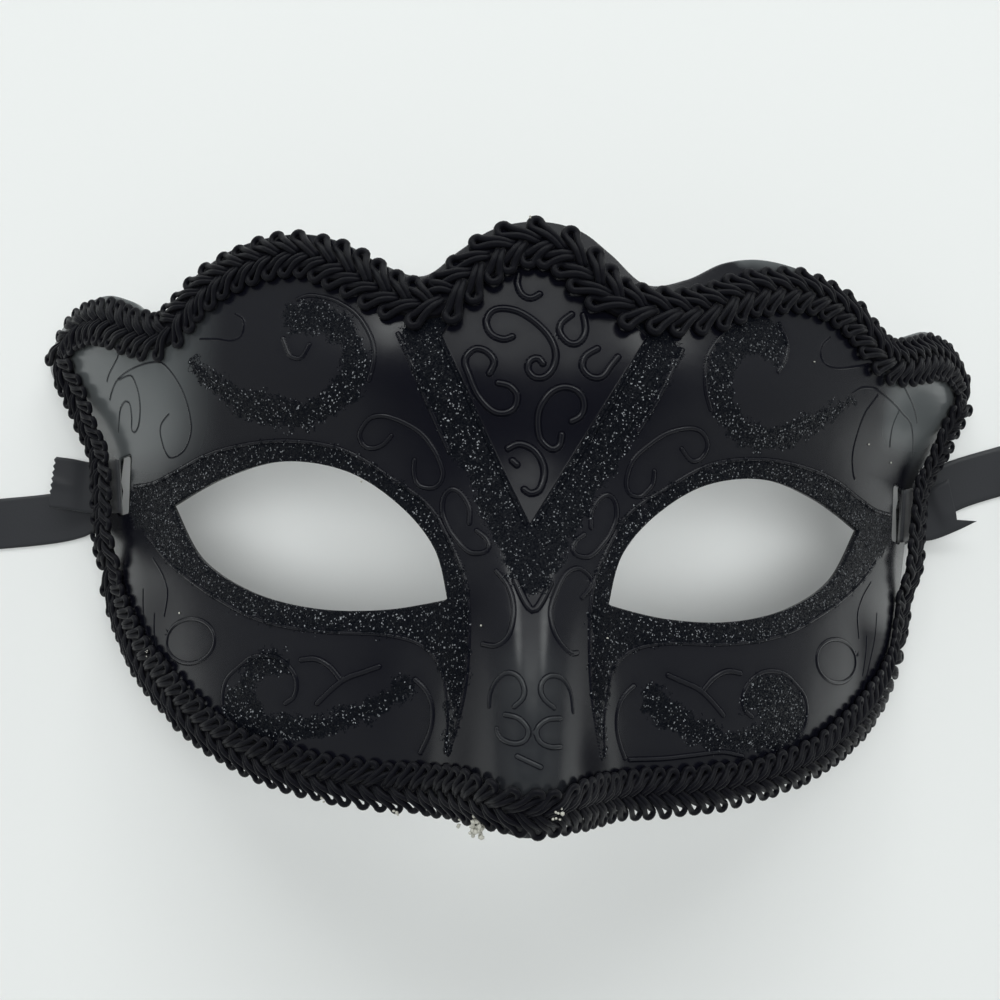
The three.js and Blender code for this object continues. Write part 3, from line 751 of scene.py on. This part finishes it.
# Braid
BRAID_LINE = [
    (0, 41.3), (5.4, 39.4), (9.6, 34.8), (14, 31.6), (22.5, 31), (29.5, 33), (35.5, 36.3), (42, 38.3),
    (49, 38.9), (56.6, 36.6), (61, 32.7), (65.2, 30.7), (71, 32.1), (78.4, 35.2), (85.4, 34.9), (89, 31),
    (86, 25.2), (82, 19.6), (79, 14), (77, 7.6), (76.2, 0.6), (75.7, -6.4), (75.6, -12.8), (74.4, -19.2),
    (71, -25), (65.5, -29.8), (59.4, -33.9), (52.6, -37.4), (45, -40.3), (34, -42.7), (24, -43.6),
    (13.5, -44), (5.5, -44.4), (0.5, -44.7), (-5, -43.9), (-10, -43.5), (-20, -43.8), (-30, -43),
    (-38.8, -41.4), (-46.1, -38.9), (-52.7, -35.4), (-58, -31.7), (-63, -28), (-67.4, -23.6),
    (-71.4, -18.5), (-74.5, -12.8), (-75, -6), (-75.8, 1), (-76.4, 8), (-78.4, 14.4), (-81.6, 20.2),
    (-85.4, 26), (-88.3, 31.2), (-84.2, 35), (-76.4, 34.5), (-69, 30.8), (-62.6, 29.2), (-57.7, 33.9),
    (-52.5, 37.6), (-46.2, 39.8), (-39.2, 40.4), (-32.6, 38.1), (-26.6, 34.2), (-20.5, 30.8),
    (-15.4, 30.4), (-11, 34.6), (-6.8, 38.9),
]
# Spacing of the loops against the angle from the crown, where the braid is stretched
PITCH_ANGLES = (0, 28, 48, 62, 70, 82, 95, 110, 125, 180)
PITCHES = (4.2, 4, 3.4, 3, 2.7, 2.9, 3.1, 3, 2.7, 2.5)
CORD, CORD_SIDES, CORD_TAPER = 0.63, 8, 0.25
HEAD_OUT = 3.05
HEAD_CREST, TIP_SPREAD = 1.08, 0.38
STEM_RUN = 4.6
# Share of the way from head to tip at each station of a loop's sides
STEM_SHARES = (1, 0.86, 0.72, 0.58, 0.45, 0.33, 0.22, 0.12, 0.04)
HEAD_STATIONS = 9
# Size of the loops where the braid is packed tightest, and the shares of their width and
# height that don't follow the size
SIZE_LEAST, WIDTH_FIXED, HEIGHT_FIXED = 0.7, 0.68, 0.4
# The loops are wider at the face's sides: from where on, and how much in the outer row (1)
# and in the inner row (-1)
WIDER_FROM, WIDER_FULL = 48, 62
WIDER = {1: 0.12, -1: 0.25}
# How much single loops differ: head along and out, tip along, size, height and cord
UNEVEN = (0.16, 0.1, 0.2, 0.05, 0.06, 0.03)
# How far a loop's tip lies off the middle line, and how far it is drawn out
TIP_SIDE, TIP_OVER = 0.02, 0.02
# Height of the cord's middle at the head, how much it climbs and how much it dips again
HEAD_HEIGHT, CLIMB, DIP = 0.8, 0.85, 0.6
BRAID_DROP = 0.4
# Distance along the braid, before and behind, that gives its run
RUN_PROBE = 0.9
BRAID_STEPS, PITCH_SAMPLES = 24, 4000
RIBBON_WIDTH = 10
# The braid's rise over a ribbon: height, its middle above the slot's, and the distances
# from there, in ribbon widths, at which it starts and stops falling off
LIFT, LIFT_UP, LIFT_FULL, LIFT_END = 1.5, 1.5, 1, 11 / 6
# The bed of glue's section: distance out and height
BED_STATIONS = 400
BED_FORM = ((-2.3, 0.06), (-1.7, 0.9), (1.7, 0.9), (2.3, 0.06))


def loop_form():
    """One loop of cord: share of the way from head to tip, bulge of the head and spread"""
    reach = np.array(STEM_SHARES)
    spread = HEAD_CREST + (TIP_SPREAD - HEAD_CREST) * smooth(reach ** 0.42)
    turn = np.linspace(0, math.pi, HEAD_STATIONS)
    share = np.r_[reach, 0 * turn, reach[::-1]]
    bulge = np.r_[0 * reach, HEAD_CREST * np.sin(turn), 0 * reach]
    beside = np.r_[spread, HEAD_CREST * np.cos(turn), -spread[::-1]]
    return share, bulge, beside


def sweep(path, radius, sides):
    """Closed tube round a path: points and faces"""
    run = unit(np.gradient(path, axis=0))
    side = np.cross(run, [0, 0, 1])
    side /= np.maximum(np.linalg.norm(side, axis=1, keepdims=True), 1e-6)
    lift = np.cross(side, run)
    a = np.linspace(0, 2 * math.pi, sides, endpoint=False)[None, :, None]
    ring = np.cos(a) * side[:, None] + np.sin(a) * lift[:, None]
    points = path[:, None] + ring * radius[:, None, None]
    faces = grid_faces(len(path), sides)
    last = (len(path) - 1) * sides
    faces += [tuple(range(sides))[::-1], tuple(range(last, last + sides))]
    return points.reshape(-1, 3), faces


class BraidCourse:
    """Middle line of the braid over the face"""

    def __init__(self):
        line = through(BRAID_LINE, BRAID_STEPS, True)
        self.line = np.vstack([line, line[:1]])
        self.reach = reach_of(face_point(*self.line.T))
        self.total = self.reach[-1]

    def spacing(self, along):
        x, y = self.plan(along).T
        return np.interp(np.degrees(np.arctan2(np.abs(x), y)), PITCH_ANGLES, PITCHES)

    def stations(self):
        """Lengths along the braid at which its loops start"""
        at = np.linspace(0, self.total, PITCH_SAMPLES)
        turns = np.r_[0, np.cumsum(1 / self.spacing(at[1:]) * np.diff(at))]
        count = round(turns[-1])
        return np.interp(np.arange(0, count, 0.5) / count * turns[-1], turns, at)

    def plan(self, along):
        at = np.mod(along, self.total)
        return np.stack([np.interp(at, self.reach, self.line[:, k]) for k in (0, 1)], -1)

    def nearest(self, x, y):
        """Length along the braid up to the point of its line nearest to a plan place"""
        gap = np.hypot(self.line[:, 0] - x, self.line[:, 1] - y)
        return self.reach[[np.argmin(gap)]]

    def place(self, along, out):
        """Points on the stiff braid's underside, and its upright, at lengths along it and
        distances out. Outside its middle it droops less than the face does."""
        ahead, behind = (face_point(*self.plan(along + d).T) for d in (RUN_PROBE, -RUN_PROBE))
        run = unit(ahead - behind)
        middle = self.plan(along)
        way = np.cross(face_normal(*middle.T), run)
        outer = out > 0
        way[outer, 2] = np.maximum(way[outer, 2], -BRAID_DROP)
        way = unit(way)
        return face_point(*middle.T) + way * out[:, None], unit(np.cross(run, way))


# Bits of set glue on the braid: nearest place in plan, distance out, height, reach, how
# many and their size
GLUE_BITS = [
    (-6.6, -43.8, 3.6, 0.9, 1.6, 44, 0.42), (-9.2, -43.3, 3.7, 0.6, 0.9, 9, 0.26),
    (-18.2, -43.8, 3.4, 0.8, 0.8, 6, 0.24), (-29.5, -43, 3.2, 0.8, 0.6, 4, 0.22),
    (2.6, -44.3, -0.6, 2.1, 1.5, 8, 0.24), (-76, -2, 3.4, 0.9, 0.9, 6, 0.26),
    (-76, 3.4, -1.6, 1.9, 0.6, 3, 0.18), (-64.4, -28.4, -3.4, 1.2, 0.9, 4, 0.16),
    (-0.4, 41.2, 4.3, 1.1, 0.5, 4, 0.26),
]
# Specks on the face, in plan
SPECKS = [
    (-57.5, -18.2), (62, 15.7), (69.2, 14.2), (48.2, 26.7), (11.7, -21.2), (-7, -20.2),
    (-26.2, 2.2),
]
SPECK_HEIGHT, SPECK_SIZE = 0.12, 0.19


def over_ribbon(at):
    """How much the braid is raised where it crosses a ribbon"""
    reach = np.abs(at[..., 1] - EYE_LINE - (SLOT_Y + LIFT_UP)) / RIBBON_WIDTH
    over = np.abs(at[..., 0]) > SLOT_X - RIBBON_WIDTH
    return np.where(over, LIFT * ramp(reach, LIFT_END, LIFT_FULL), 0)


def scaled(least, share):
    """From the least at share 0 to 1 at share 1"""
    return least + (1 - least) * share


def loop_row(course, row, start):
    """Cords of the loops whose heads lie on one side, from their starts along the braid"""
    share, bulge, beside = loop_form()
    loose = (course.spacing(start) - min(PITCHES)) / (max(PITCHES) - min(PITCHES))
    scale = scaled(SIZE_LEAST, loose)
    uneven = rng.normal(0, 1, (6, len(start))) * np.array(UNEVEN)[:, None]
    at_side = ramp(np.abs(course.plan(start)[:, 0]), WIDER_FROM, WIDER_FULL)
    width = HEAD_OUT * scaled(WIDTH_FIXED, scale) * (1 + WIDER[row] * at_side)
    head, head_up = course.place(start + uneven[0], row * (width + uneven[1]))
    tip_at = start + STEM_RUN * scale + uneven[2]
    tip, tip_up = course.place(tip_at, np.full(len(start), row * TIP_SIDE))
    tip = tip + (tip - head) * TIP_OVER
    axis = unit(tip - head)
    length = np.linalg.norm(tip - head, axis=1)
    size = scale * (1 + uneven[3])
    along = share[None] * length[:, None] - bulge[None] * size[:, None]
    middle = head[:, None] + axis[:, None] * along[..., None]
    mix = share[None, :, None]
    up = unit(head_up[:, None] * (1 - mix) + tip_up[:, None] * mix)
    side = unit(np.cross(up, axis[:, None]))
    at = middle + side * (size[:, None] * beside[None])[..., None]
    at[..., 2] = np.maximum(at[..., 2], face_height(at[..., 0], at[..., 1] - EYE_LINE))
    rise = HEAD_HEIGHT + CLIMB * ramp(share, 0, 0.55) - DIP * ramp(share, 0.6, 1)
    rise = rise + 0.05 * np.linspace(-1, 1, len(share)) * share
    height = rise[None] * scaled(HEIGHT_FIXED, scale)[:, None] + uneven[4][:, None]
    paths = at + up * (height + over_ribbon(at))[..., None]
    slim = 1 - CORD_TAPER * share ** 2
    thickness = CORD * scale * (1 + uneven[5])
    return [sweep(path, thick * slim, CORD_SIDES) for path, thick in zip(paths, thickness)]


def glue_bed(course):
    """The thin strip of set glue that the braid lies on"""
    n = BED_STATIONS
    along = np.arange(n) / n * course.total
    rows = []
    for out, height in BED_FORM:
        at, up = course.place(along, np.full(n, out))
        rows.append(at + up * (height + over_ribbon(at))[:, None])
    return np.stack(rows, 1).reshape(-1, 3), grid_faces(n, len(rows), closed=True)


def crumb(middle, radius):
    """A small uneven lump"""
    points = [(0, 0, 1)]
    for level in (0.5, -0.5):
        turn = np.arange(6) * math.pi / 3 + level
        flat = math.sqrt(1 - level * level)
        points += [(flat * math.cos(a), flat * math.sin(a), level) for a in turn]
    points = np.array(points + [(0, 0, -1)]) * rng.uniform(0.7, 1.2, (14, 1)) * radius
    faces = []
    for i in range(6):
        j = (i + 1) % 6
        faces += [(0, 1 + i, 1 + j), (1 + i, 7 + i, 7 + j, 1 + j), (13, 7 + j, 7 + i)]
    return points * rng.uniform(0.7, 1.3, 3) + middle, faces


def glue_crumbs(course):
    """Heaps of glue bits on the braid, and the specks on the face"""
    crumbs = []
    for x, y, out, height, reach, number, size in GLUE_BITS:
        at, up = course.place(course.nearest(x, y), np.array([out]))
        heap = (at + up * height)[0]
        for _ in range(number):
            middle = heap + reach * np.clip(rng.normal(0, 0.4, 3), -0.8, 0.8)
            crumbs.append(crumb(middle, size * rng.uniform(0.6, 1.3)))
    for x, y in SPECKS:
        crumbs.append(crumb(face_point(x, y, SPECK_HEIGHT), SPECK_SIZE))
    return crumbs


def join(parts):
    """Points and faces of several parts as those of one"""
    points, faces, count = [], [], 0
    for part, part_faces in parts:
        points.append(part)
        faces += [tuple(v + count for v in face) for face in part_faces]
        count += len(part)
    return np.vstack(points), faces


def make_braid():
    course = BraidCourse()
    stations = course.stations()
    dark = loop_row(course, 1, stations[0::2]) + loop_row(course, -1, stations[1::2])
    dark.append(glue_bed(course))
    points, faces = join(dark + glue_crumbs(course))
    piece = make_mesh("braid", points, faces)
    glue = np.ones(len(points))
    glue[:sum(len(part) for part, _ in dark)] = 0
    add_field(piece, "glue", glue)
    return piece


# Ribbons
RIBBON_STEPS = 6
RIBBON_OVER, RIBBON_UNDER = 0.7, -THICKNESS - 0.6
TABLE_GAP = 0.12
# The roll that holds the rest of a ribbon: radius, hole, what each turn takes up and
# stations in each turn
ROLL_RADIUS, ROLL_HOLE, ROLL_STEP, ROLL_STATIONS = 9, 2, 0.75, 56
SHEET = 0.22
# Distance from the middle, place along Y, height and turn of the heading
LEFT_TAIL = [(89.8, 7.4, 4.6, 0.03), (86.6, 7.3, 3.4, 0), (83.6, 7, 2.1, 0)]
LEFT_LEAD = [
    (79, 5.5, 2.5, 0), (81.8, 4.2, 0.85, -0.1), (85.4, 2.2, 0.45, -0.16), (92, 0.6, 0.35, -0.13),
    (106.4, -1.3, 0.3, -0.13), (116.4, -2.6, 0.3, -0.13),
]
RIGHT_TAIL = [(90.4, 10.6, 5, 0.45), (87, 8.8, 4, 0.4), (83.8, 7.4, 2.6, 0.2)]
RIGHT_LEAD = [
    (79, 6.3, 2.5, 0), (81.8, 8.1, 0.85, 0.15), (85.4, 11.1, 0.45, 0.3), (92, 14.8, 0.35, 0.32),
    (106, 19.4, 0.3, 0.32), (116, 22.8, 0.3, 0.32),
]
# The turn round the strip beside the slot: distance out, height over the outer face and
# how far the ribbon has slid towards its tail
TURN = [
    (5, RIBBON_OVER, 0.95), (3.1, RIBBON_OVER, 0.8), (1.9, RIBBON_OVER, 0.5),
    (0.7, RIBBON_OVER, 0.2), (-0.1, 0.85 * RIBBON_OVER, 0), (-0.55, 0.2, 0), (-0.65, -0.6, 0),
    (-0.55, RIBBON_UNDER + 0.5, 0), (-0.1, RIBBON_UNDER + 0.1, 0), (0.9, RIBBON_UNDER, 0),
]
# How far past the slot's edge the ribbon reaches into the slot
LEAST_OUT = -0.16


def half_across(side, yaw):
    """Half the ribbon's width, across its heading"""
    return np.array([-math.sin(yaw) * side, math.cos(yaw), 0]) * RIBBON_WIDTH / 2


def free_edges(side, x, y, z, yaw):
    """Both edges of the ribbon at a station where it lies or hangs free"""
    half = half_across(side, yaw)
    middle = np.array([side * x, y + EYE_LINE, z])
    return middle - half, middle + half


def held_edges(side, skew, out, y, height):
    """Both edges of the ribbon at a station of its turn round the strip"""
    pair = []
    for e in (-0.5, 0.5):
        slack = (0.5 - e) * skew * math.exp(-((out + 0.3) / 1.2) ** 2)
        x = side * (SLOT_X + SLOT_WIDTH / 2 + max(out, LEAST_OUT) - slack)
        at = y + e * RIBBON_WIDTH
        if height > 0:
            pair.append(face_point(x, at, height))
        else:
            drop = height / face_normal(np.array(x), np.array(at))[2]
            pair.append(face_point(x, at) + [-SLOT_LEAN * side * drop, 0, drop])
    return pair


def roll_up(a, b, side, yaw):
    """Both edges with the roll added at their end"""
    run = np.array([side * math.cos(yaw), math.sin(yaw), 0])
    radius = ROLL_RADIUS - TABLE_GAP
    turns = (ROLL_RADIUS - ROLL_HOLE) / ROLL_STEP
    angle = np.linspace(0, 2 * math.pi * turns, int(ROLL_STATIONS * turns))[1:]
    r = radius + (ROLL_HOLE - radius) * angle / angle[-1]
    heart = (a[-1] + b[-1]) / 2 + [0, 0, radius]
    spiral = (heart + run * (r * np.sin(angle))[:, None]
              - np.array([0, 0, 1]) * (r * np.cos(angle))[:, None])
    half = half_across(side, yaw)
    return np.vstack([a, spiral - half]), np.vstack([b, spiral + half])


def ribbon_edges(side, tail, lead, skew):
    """Left and right edge of the ribbon at each station of its course"""
    tail_y = tail[-1][1]
    edges = [free_edges(side, *place) for place in tail]
    for out, height, slide in TURN:
        edges.append(held_edges(side, skew, out, SLOT_Y + slide * (tail_y - SLOT_Y), height))
    edges += [free_edges(side, *place) for place in lead]
    a, b = (through([pair[k] for pair in edges], RIBBON_STEPS) for k in (0, 1))
    return roll_up(a, b, side, lead[-1][3])


def sheet_faces(n, columns):
    """Faces of a thick sheet of n stations, whose top points come first"""
    shift = n * columns
    faces = grid_faces(n, columns, around=False)
    faces += [(a + shift, d + shift, c + shift, b + shift) for a, b, c, d in faces]
    for i in range(n - 1):
        p, q = i * columns, (i + 1) * columns
        faces.append((p, q, shift + q, shift + p))
        p, q = p + columns - 1, q + columns - 1
        faces.append((p, shift + p, shift + q, q))
    for j in range(columns - 1):
        last = (n - 1) * columns + j
        faces.append((j, shift + j, shift + j + 1, j + 1))
        faces.append((last, last + 1, shift + last + 1, shift + last))
    return faces


def make_ribbon(name, side, tail, lead, skew, columns, cut):
    """A ribbon on side 1 or -1, so many points wide, with its tail's end cut and its turn
    round the strip askew"""
    a, b = ribbon_edges(side, tail, lead, skew)
    t = np.linspace(0, 1, columns)
    surface = a[:, None] + (b - a)[:, None] * t[None, :, None]
    middle = surface.mean(axis=1)
    normal = unit(np.cross(np.gradient(middle, axis=0), b - a))
    station = reach_of(middle)
    further, raised = cut(station, t)
    out = unit(middle[0] - middle[2])
    upward = np.sign(normal[:1, 2:]) * normal[:, None]
    surface = surface + further[..., None] * out + raised[..., None] * upward
    half = normal[:, None] * SHEET / 2
    points = np.vstack([(surface + half).reshape(-1, 3), (surface - half).reshape(-1, 3)])
    piece = make_mesh(name, points, sheet_faces(len(a), columns))
    return piece


def pinked(station, t):
    """Cut end with small teeth, and a crease behind it: shift along and rise"""
    near = np.clip(1 - station / 5, 0, 1)[:, None]
    teeth = 0.18 * np.where(np.arange(len(t)) % 2, 1, -1)
    crease = 0.35 * np.exp(-((t - 0.52 + 0.03 * station[:, None]) / 0.07) ** 2)
    return teeth * (near > 0.97), crease * smooth(1.6 * near)


def swallow(station, t):
    """End cut to a point with a notch, and a soft fold: shift along and rise"""
    near = np.clip(1 - station / 6, 0, 1)[:, None]
    notch = np.interp(t, (0, 0.2, 0.3, 1), (0.4, -2.9, -2.6, -0.7))
    fold = 0.3 * np.exp(-((t - 0.35) / 0.12) ** 2)
    return notch * near, fold * smooth(1.6 * near)


# Materials: colours as red, green, blue and 1
# The shell's grey stands for a painted reflection at the temples and nose, and for glue film on the rim
SHELL_BLACK, REFLECTION_AND_GLUE_GREY = (0.004, 0.0041, 0.0074, 1), (0.1, 0.108, 0.112, 1)
DARK_FLAKE, BRIGHT_FLAKE = (0.0026, 0.0033, 0.0058, 1), (0.28, 0.29, 0.31, 1)
CORD_BLACK, GLUE_WHITE = (0.0028, 0.0028, 0.0052, 1), (0.5, 0.49, 0.44, 1)
SATIN_BLACK, FLOOR_GREY = (0.03, 0.031, 0.035, 1), (0.787, 0.792, 0.79, 1)
# Glitter: flakes to the metre, how far one leans, its roughness, and how many are dark
FLAKES, FLAKE_LEAN, FLAKE_ROUGHNESS, DARK_SHARE = 5400, 1.1, 0.42, 0.95


class Nodes:
    """The shader nodes of a material or of the world"""

    def __init__(self, owner):
        self.owner = owner
        owner.use_nodes = True
        self.tree = owner.node_tree

    def feed(self, socket, value):
        """Gives a socket a number or a colour, or links another node to it"""
        if isinstance(value, bpy.types.NodeSocket):
            self.tree.links.new(value, socket)
        else:
            socket.default_value = value

    def use(self, name, inputs):
        """Feeds inputs of the node of that name"""
        for key, value in inputs.items():
            self.feed(self.tree.nodes[name].inputs[key], value)

    def add(self, kind, inputs, **settings):
        """Outputs of a new node"""
        made = self.tree.nodes.new(kind)
        for key, value in settings.items():
            setattr(made, key, value)
        for key, value in inputs.items():
            self.feed(made.inputs[key], value)
        return made.outputs

    def coordinates(self, kind):
        return self.add("ShaderNodeTexCoord", {})[kind]

    def attribute(self, name):
        return self.add("ShaderNodeAttribute", {}, attribute_name=name)["Fac"]

    def noise(self, place, scale, detail):
        inputs = {"Vector": place, "Scale": scale, "Detail": detail}
        return self.add("ShaderNodeTexNoise", inputs)["Fac"]

    def remap(self, value, low, high, start=0, end=1):
        """The value carried over from start and end to low and high"""
        inputs = {"Value": value, "From Min": start, "From Max": end}
        inputs.update({"To Min": low, "To Max": high})
        return self.add("ShaderNodeMapRange", inputs)["Result"]

    def math(self, operation, *values):
        return self.add("ShaderNodeMath", dict(enumerate(values)), operation=operation)[0]

    def vector(self, operation, inputs):
        return self.add("ShaderNodeVectorMath", inputs, operation=operation)[0]

    def mix(self, share, first, second):
        """A colour between two"""
        inputs = {0: share, 6: first, 7: second}
        return self.add("ShaderNodeMix", inputs, data_type="RGBA")[2]

    def bump(self, height, strength, distance):
        inputs = {"Height": height, "Strength": strength, "Distance": distance}
        return self.add("ShaderNodeBump", inputs)["Normal"]


def plastic():
    nodes = Nodes(bpy.data.materials.new("shell_plastic"))
    place = nodes.coordinates("Object")
    flakes = nodes.add("ShaderNodeTexVoronoi", {"Vector": place, "Scale": FLAKES})["Color"]
    split = nodes.add("ShaderNodeSeparateColor", {"Color": flakes})
    # Where glitter is painted, with a ragged edge
    patch = nodes.remap(nodes.noise(place, 700, 3), -0.9, 0.6, 0.3, 0.7)
    ragged = nodes.math("ADD", nodes.attribute("glitter"), patch)
    chance = nodes.math("MULTIPLY_ADD", split["Blue"], 0.9, ragged)
    painted = nodes.remap(chance, 0, 1, 0.35, 0.5)
    bright = nodes.math("GREATER_THAN", split["Green"], DARK_SHARE)
    flake = nodes.mix(bright, DARK_FLAKE, BRIGHT_FLAKE)
    # Painted shade: the creases and the places that mirror the braid mirror less of the room
    painted_shade_factor = nodes.remap(nodes.attribute("crease"), 1, 0.04)
    # Grey mixed into the black: painted reflection at the temples and nose, and glue film on the rim
    reflection_and_glue = nodes.math("MULTIPLY", nodes.attribute("painted_reflection_and_glue"), painted_shade_factor)
    ground = nodes.mix(reflection_and_glue, SHELL_BLACK, REFLECTION_AND_GLUE_GREY)
    grain = nodes.remap(nodes.noise(place, 1500, 2), 0.2, 0.27)
    inputs = {0: painted, 2: grain, 3: FLAKE_ROUGHNESS}
    rough = nodes.add("ShaderNodeMix", inputs, data_type="FLOAT")[0]
    # Each flake leans its own way
    wave = nodes.bump(nodes.noise(place, 160, 1), 0.35, 0.00012)
    tilt = nodes.vector("SUBTRACT", {0: flakes, 1: (0.5, 0.5, 0.5)})
    lean = nodes.math("MULTIPLY", painted, FLAKE_LEAN)
    tilt = nodes.vector("SCALE", {0: tilt, "Scale": lean})
    tilt = nodes.vector("ADD", {0: wave, 1: tilt})
    nodes.use("Principled BSDF", {
        "Base Color": nodes.mix(painted, ground, flake),
        "Specular IOR Level": nodes.math("MULTIPLY", nodes.remap(painted, 0.5, 0.14), painted_shade_factor),
        "Metallic": nodes.math("MULTIPLY", painted, bright),
        "Roughness": rough,
        "Normal": nodes.vector("NORMALIZE", {0: tilt}),
    })
    return nodes.owner


def use_fibres(nodes, scale, detail, low, high, strength, distance):
    """Roughness between low and high, and a fine bump, from the same noise"""
    fibre = nodes.noise(nodes.coordinates("Object"), scale, detail)
    nodes.use("Principled BSDF", {
        "Roughness": nodes.remap(fibre, low, high),
        "Normal": nodes.bump(fibre, strength, distance),
    })


def cord():
    nodes = Nodes(bpy.data.materials.new("braid_cord"))
    nodes.use("Principled BSDF", {
        "Base Color": nodes.mix(nodes.attribute("glue"), CORD_BLACK, GLUE_WHITE),
        "Specular IOR Level": 0.26,
        "Sheen Weight": 0.03,
        "Sheen Roughness": 0.4,
    })
    use_fibres(nodes, 2600, 3, 0.42, 0.62, 0.4, 0.00008)
    return nodes.owner


def satin():
    nodes = Nodes(bpy.data.materials.new("ribbon_satin"))
    nodes.use("Principled BSDF", {
        "Base Color": SATIN_BLACK,
        "Sheen Weight": 0.25,
        "Sheen Roughness": 0.35,
    })
    use_fibres(nodes, 2200, 2, 0.38, 0.55, 0.3, 0.00006)
    return nodes.owner


# Room: pale floor, soft lamps round it and a dim surround that is darker overhead
FLOOR_SIZE = 3
SURROUND_COLOUR, LAMP_COLOUR = (0.95, 1, 0.99, 1), (0.97, 1, 0.99)
LAMP_DISTANCE = 1.5
# Each lamp's angle round the mask and from straight above, its width and height in
# degrees, its brightness, and whether surfaces mirror it
LAMPS = [
    ("window", 3.5, 33, 23, 18, 0.75, True),
    ("window_high", 3.5, 51, 33, 18, 0.5, True),
    ("lamp_left", -28, 50, 12, 16, 3.2, True),
    ("lamp_right", 33, 50, 12, 16, 2.8, True),
    ("far_wall", 0, 70, 84, 20, 0.5, True),
    ("fill_top", 180, 7, 22, 22, 4.7, False),
    ("fill_right", 100, 21, 20, 20, 3.2, False),
    ("fill_left", -100, 21, 20, 20, 3.2, False),
    ("fill_far", 0, 55, 60, 34, 1.2, False),
]


def make_lamp(name, azimuth, polar, width, height, radiance, mirrored):
    azimuth, polar = math.radians(azimuth), math.radians(polar)
    place = Vector((math.sin(polar) * math.sin(azimuth), math.sin(polar) * math.cos(azimuth),
                    math.cos(polar))) * LAMP_DISTANCE
    lamp = bpy.data.lights.new(name, "AREA")
    lamp.shape = "RECTANGLE"
    lamp.size = 2 * LAMP_DISTANCE * math.tan(math.radians(width / 2))
    lamp.size_y = 2 * LAMP_DISTANCE * math.tan(math.radians(height / 2))
    lamp.energy = 4 * lamp.size * lamp.size_y * radiance
    lamp.color = LAMP_COLOUR
    holder = bpy.data.objects.new(name, lamp)
    bpy.context.collection.objects.link(holder)
    holder.location = place
    holder.rotation_euler = (-place).to_track_quat("-Z", "Y").to_euler()
    holder.visible_glossy = mirrored


def make_floor():
    bpy.ops.mesh.primitive_plane_add(size=FLOOR_SIZE)
    floor = bpy.context.object
    floor.name = "floor"
    nodes = Nodes(bpy.data.materials.new("pale_floor"))
    nodes.use("Principled BSDF", {"Base Color": FLOOR_GREY, "Roughness": 0.9})
    floor.data.materials.append(nodes.owner)


def make_surround():
    nodes = Nodes(bpy.data.worlds.new("world"))
    up = nodes.add("ShaderNodeSeparateXYZ", {0: nodes.coordinates("Generated")})["Z"]
    strength = nodes.remap(up, 0.3, 0.03, 0.72, 0.9)
    nodes.use("Background", {"Strength": strength, "Color": SURROUND_COLOUR})
    bpy.context.scene.world = nodes.owner


def make_room():
    make_floor()
    make_surround()
    for lamp in LAMPS:
        make_lamp(*lamp)
    bpy.context.scene.view_settings.view_transform = "Standard"


shell = Shell().build()
shell.data.materials.append(plastic())
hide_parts("mask_shell")
braid = make_braid()
braid.data.materials.append(cord())
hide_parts("gimp_braid")
satin_material = satin()
left = make_ribbon("ribbon_left_satin", -1, LEFT_TAIL, LEFT_LEAD, skew=1.5, columns=17, cut=pinked)
left.data.materials.append(satin_material)
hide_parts("ribbon_left")
right = make_ribbon("ribbon_right_satin", 1, RIGHT_TAIL, RIGHT_LEAD, skew=0.2, columns=11, cut=swallow)
right.data.materials.append(satin_material)
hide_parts("ribbon_right")
make_room()
